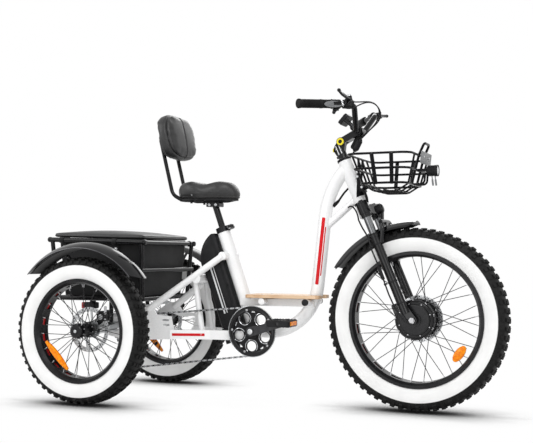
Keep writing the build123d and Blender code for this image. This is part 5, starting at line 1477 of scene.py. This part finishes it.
wrap_turns = [(s + k, r) for s in range(10, 56, 6) for k, r in ((0, 13), (4, 13), (5, 12))]
turned("cable_wrap", [(0, 6), (2, 10), (8, 12.6)] + wrap_turns + [(62, 10.6), (67, 6)], at(1014, 0, 1015),
       (34, 0, 58), rubber, "stem", "rubber", 28)
bridging_cable("fork_lead_loop", [at(1000, -14, 784), at(1016, -26, 792), at(1042, -52, 772),
                                  at(1062, -84, 746), at(1068, -98, 731)], 3)
bridging_cable("fork_lead_drop", [at(1068, -98, 731), at(1080, -100, 706), at(1093, -96, 684),
                                  at(1103, -91, 665)], 3)
bridging_cable("head_bundle", [steer(29, -24, 41), steer(36, -32, 27), steer(37, -34, 6),
                               steer(31, -31, -15), steer(21, -25, -25)], 5.5)
bridging_cable("stem_bundle", [at(1021, 0, 1007), at(1014, 0, 994), at(1004, 0, 984), at(994, 0, 984),
                               at(986, 0, 990)], 3.4)
path = smooth_route([at(932, 0, 792), at(950, 6, 806), at(962, 12, 826), at(976, 22, 850), at(996, 34, 872)])
harness_radii = [9 - 5 * min(1, k / 14) for k in range(len(path))]
tube("frame_harness", path, harness_radii, rubber, "frame", "rubber", 14)


# Stage: floor, world and lamps
def background_rays(tree):
    """1 for rays that see the backdrop: camera, glossy and transmission rays."""
    light_path = tree.nodes.new("ShaderNodeLightPath")
    value = light_path.outputs["Is Camera Ray"]
    for output in ("Is Glossy Ray", "Is Transmission Ray"):
        either = add_node(tree, "ShaderNodeMath", operation="MAXIMUM")
        tree.links.new(value, either.inputs[0])
        tree.links.new(light_path.outputs[output], either.inputs[1])
        value = either.outputs["Value"]
    return value


AMBIENT = 0.55
world = bpy.data.worlds.new("studio")
bpy.context.scene.world = world
world.use_nodes = True
backdrop = world.node_tree.nodes["Background"]
backdrop.inputs["Color"].default_value = (1, 1, 1, 1)
level = world.node_tree.nodes.new("ShaderNodeMapRange")
level.inputs["To Min"].default_value = AMBIENT
level.inputs["To Max"].default_value = 1.0
world.node_tree.links.new(background_rays(world.node_tree), level.inputs["Value"])
world.node_tree.links.new(level.outputs["Result"], backdrop.inputs["Strength"])

# The floor is white to the camera except in the shadow under the wheels
floor_mat, floor_tree, floor_shader = new_material("studio_floor")
floor_shader.inputs["Base Color"].default_value = (0.85, 0.85, 0.85, 1)
floor_shader.inputs["Roughness"].default_value = 0.9
occlusion = add_node(floor_tree, "ShaderNodeAmbientOcclusion", samples=8, Distance=0.24)
glow = floor_tree.nodes.new("ShaderNodeEmission")
floor_tree.links.new(ramp(floor_tree, occlusion.outputs["AO"],
                          [(0.12, 0.006), (0.46, 0.05), (0.7, 0.42), (0.89, 1.0)]), glow.inputs["Color"])
floor_mix = floor_tree.nodes.new("ShaderNodeMixShader")
floor_tree.links.new(background_rays(floor_tree), floor_mix.inputs["Fac"])
floor_tree.links.new(floor_shader.outputs["BSDF"], floor_mix.inputs[1])
floor_tree.links.new(glow.outputs["Emission"], floor_mix.inputs[2])
floor_tree.links.new(floor_mix.outputs["Shader"], floor_tree.nodes["Material Output"].inputs["Surface"])
floor_mesh = bpy.data.meshes.new("studio_floor")
floor_mesh.from_pydata([(-9, -9, -0.0005), (9, -9, -0.0005), (9, 9, -0.0005), (-9, 9, -0.0005)], [],
                       [(0, 1, 2, 3)])
floor_mesh.materials.append(floor_mat)
floor = bpy.data.objects.new("studio_floor", floor_mesh)
bpy.context.collection.objects.link(floor)


def lamp(name, location, target, size, power):
    light = bpy.data.lights.new(name, "AREA")
    light.shape = "DISK"
    light.size = size
    light.energy = power
    obj = bpy.data.objects.new(name, light)
    obj.location = location
    obj.rotation_euler = (Vector(target) - Vector(location)).to_track_quat("-Z", "Y").to_euler()
    bpy.context.collection.objects.link(obj)


lamp("key", (1.6, -2.6, 3.4), (0, 0, 0.5), 2.4, 64)
lamp("strip", (2.9, -1.9, 1.5), (0.3, 0, 0.5), 1.1, 10)
lamp("low", (-0.1, -2.4, 0.45), (-0.3, 0, 0.3), 1.2, 6.5)
lamp("fill", (-3.0, -2.4, 2.2), (0, 0, 0.5), 2.6, 45)
lamp("back", (-0.6, 3.2, 2.8), (0, 0, 0.6), 2.4, 50)

# Camera at the photograph's viewpoint, with its focal length in the photograph's pixels
PHOTO_WIDTH, FOCAL_LENGTH, SENSOR = 533, 922.05, 36
yaw, pitch, roll = radians(22.777), radians(-2.086), radians(0.09)
look = Vector((-sin(yaw) * cos(pitch), cos(yaw) * cos(pitch), -sin(pitch)))
side = Vector((cos(yaw), sin(yaw), 0))
up = side.cross(look)
camera_data = bpy.data.cameras.new("camera")
camera_data.sensor_fit = "HORIZONTAL"
camera_data.sensor_width = SENSOR
camera_data.lens = FOCAL_LENGTH * SENSOR / PHOTO_WIDTH
camera = bpy.data.objects.new("camera", camera_data)
turn = Matrix((side, up, -look)).transposed().to_4x4()
camera.matrix_world = Matrix.Translation(at(2108.6, -3486, 595.7)) @ turn @ Matrix.Rotation(roll, 4, "Z")
bpy.context.collection.objects.link(camera)
bpy.context.scene.camera = camera
bpy.context.scene.view_settings.view_transform = "Standard"
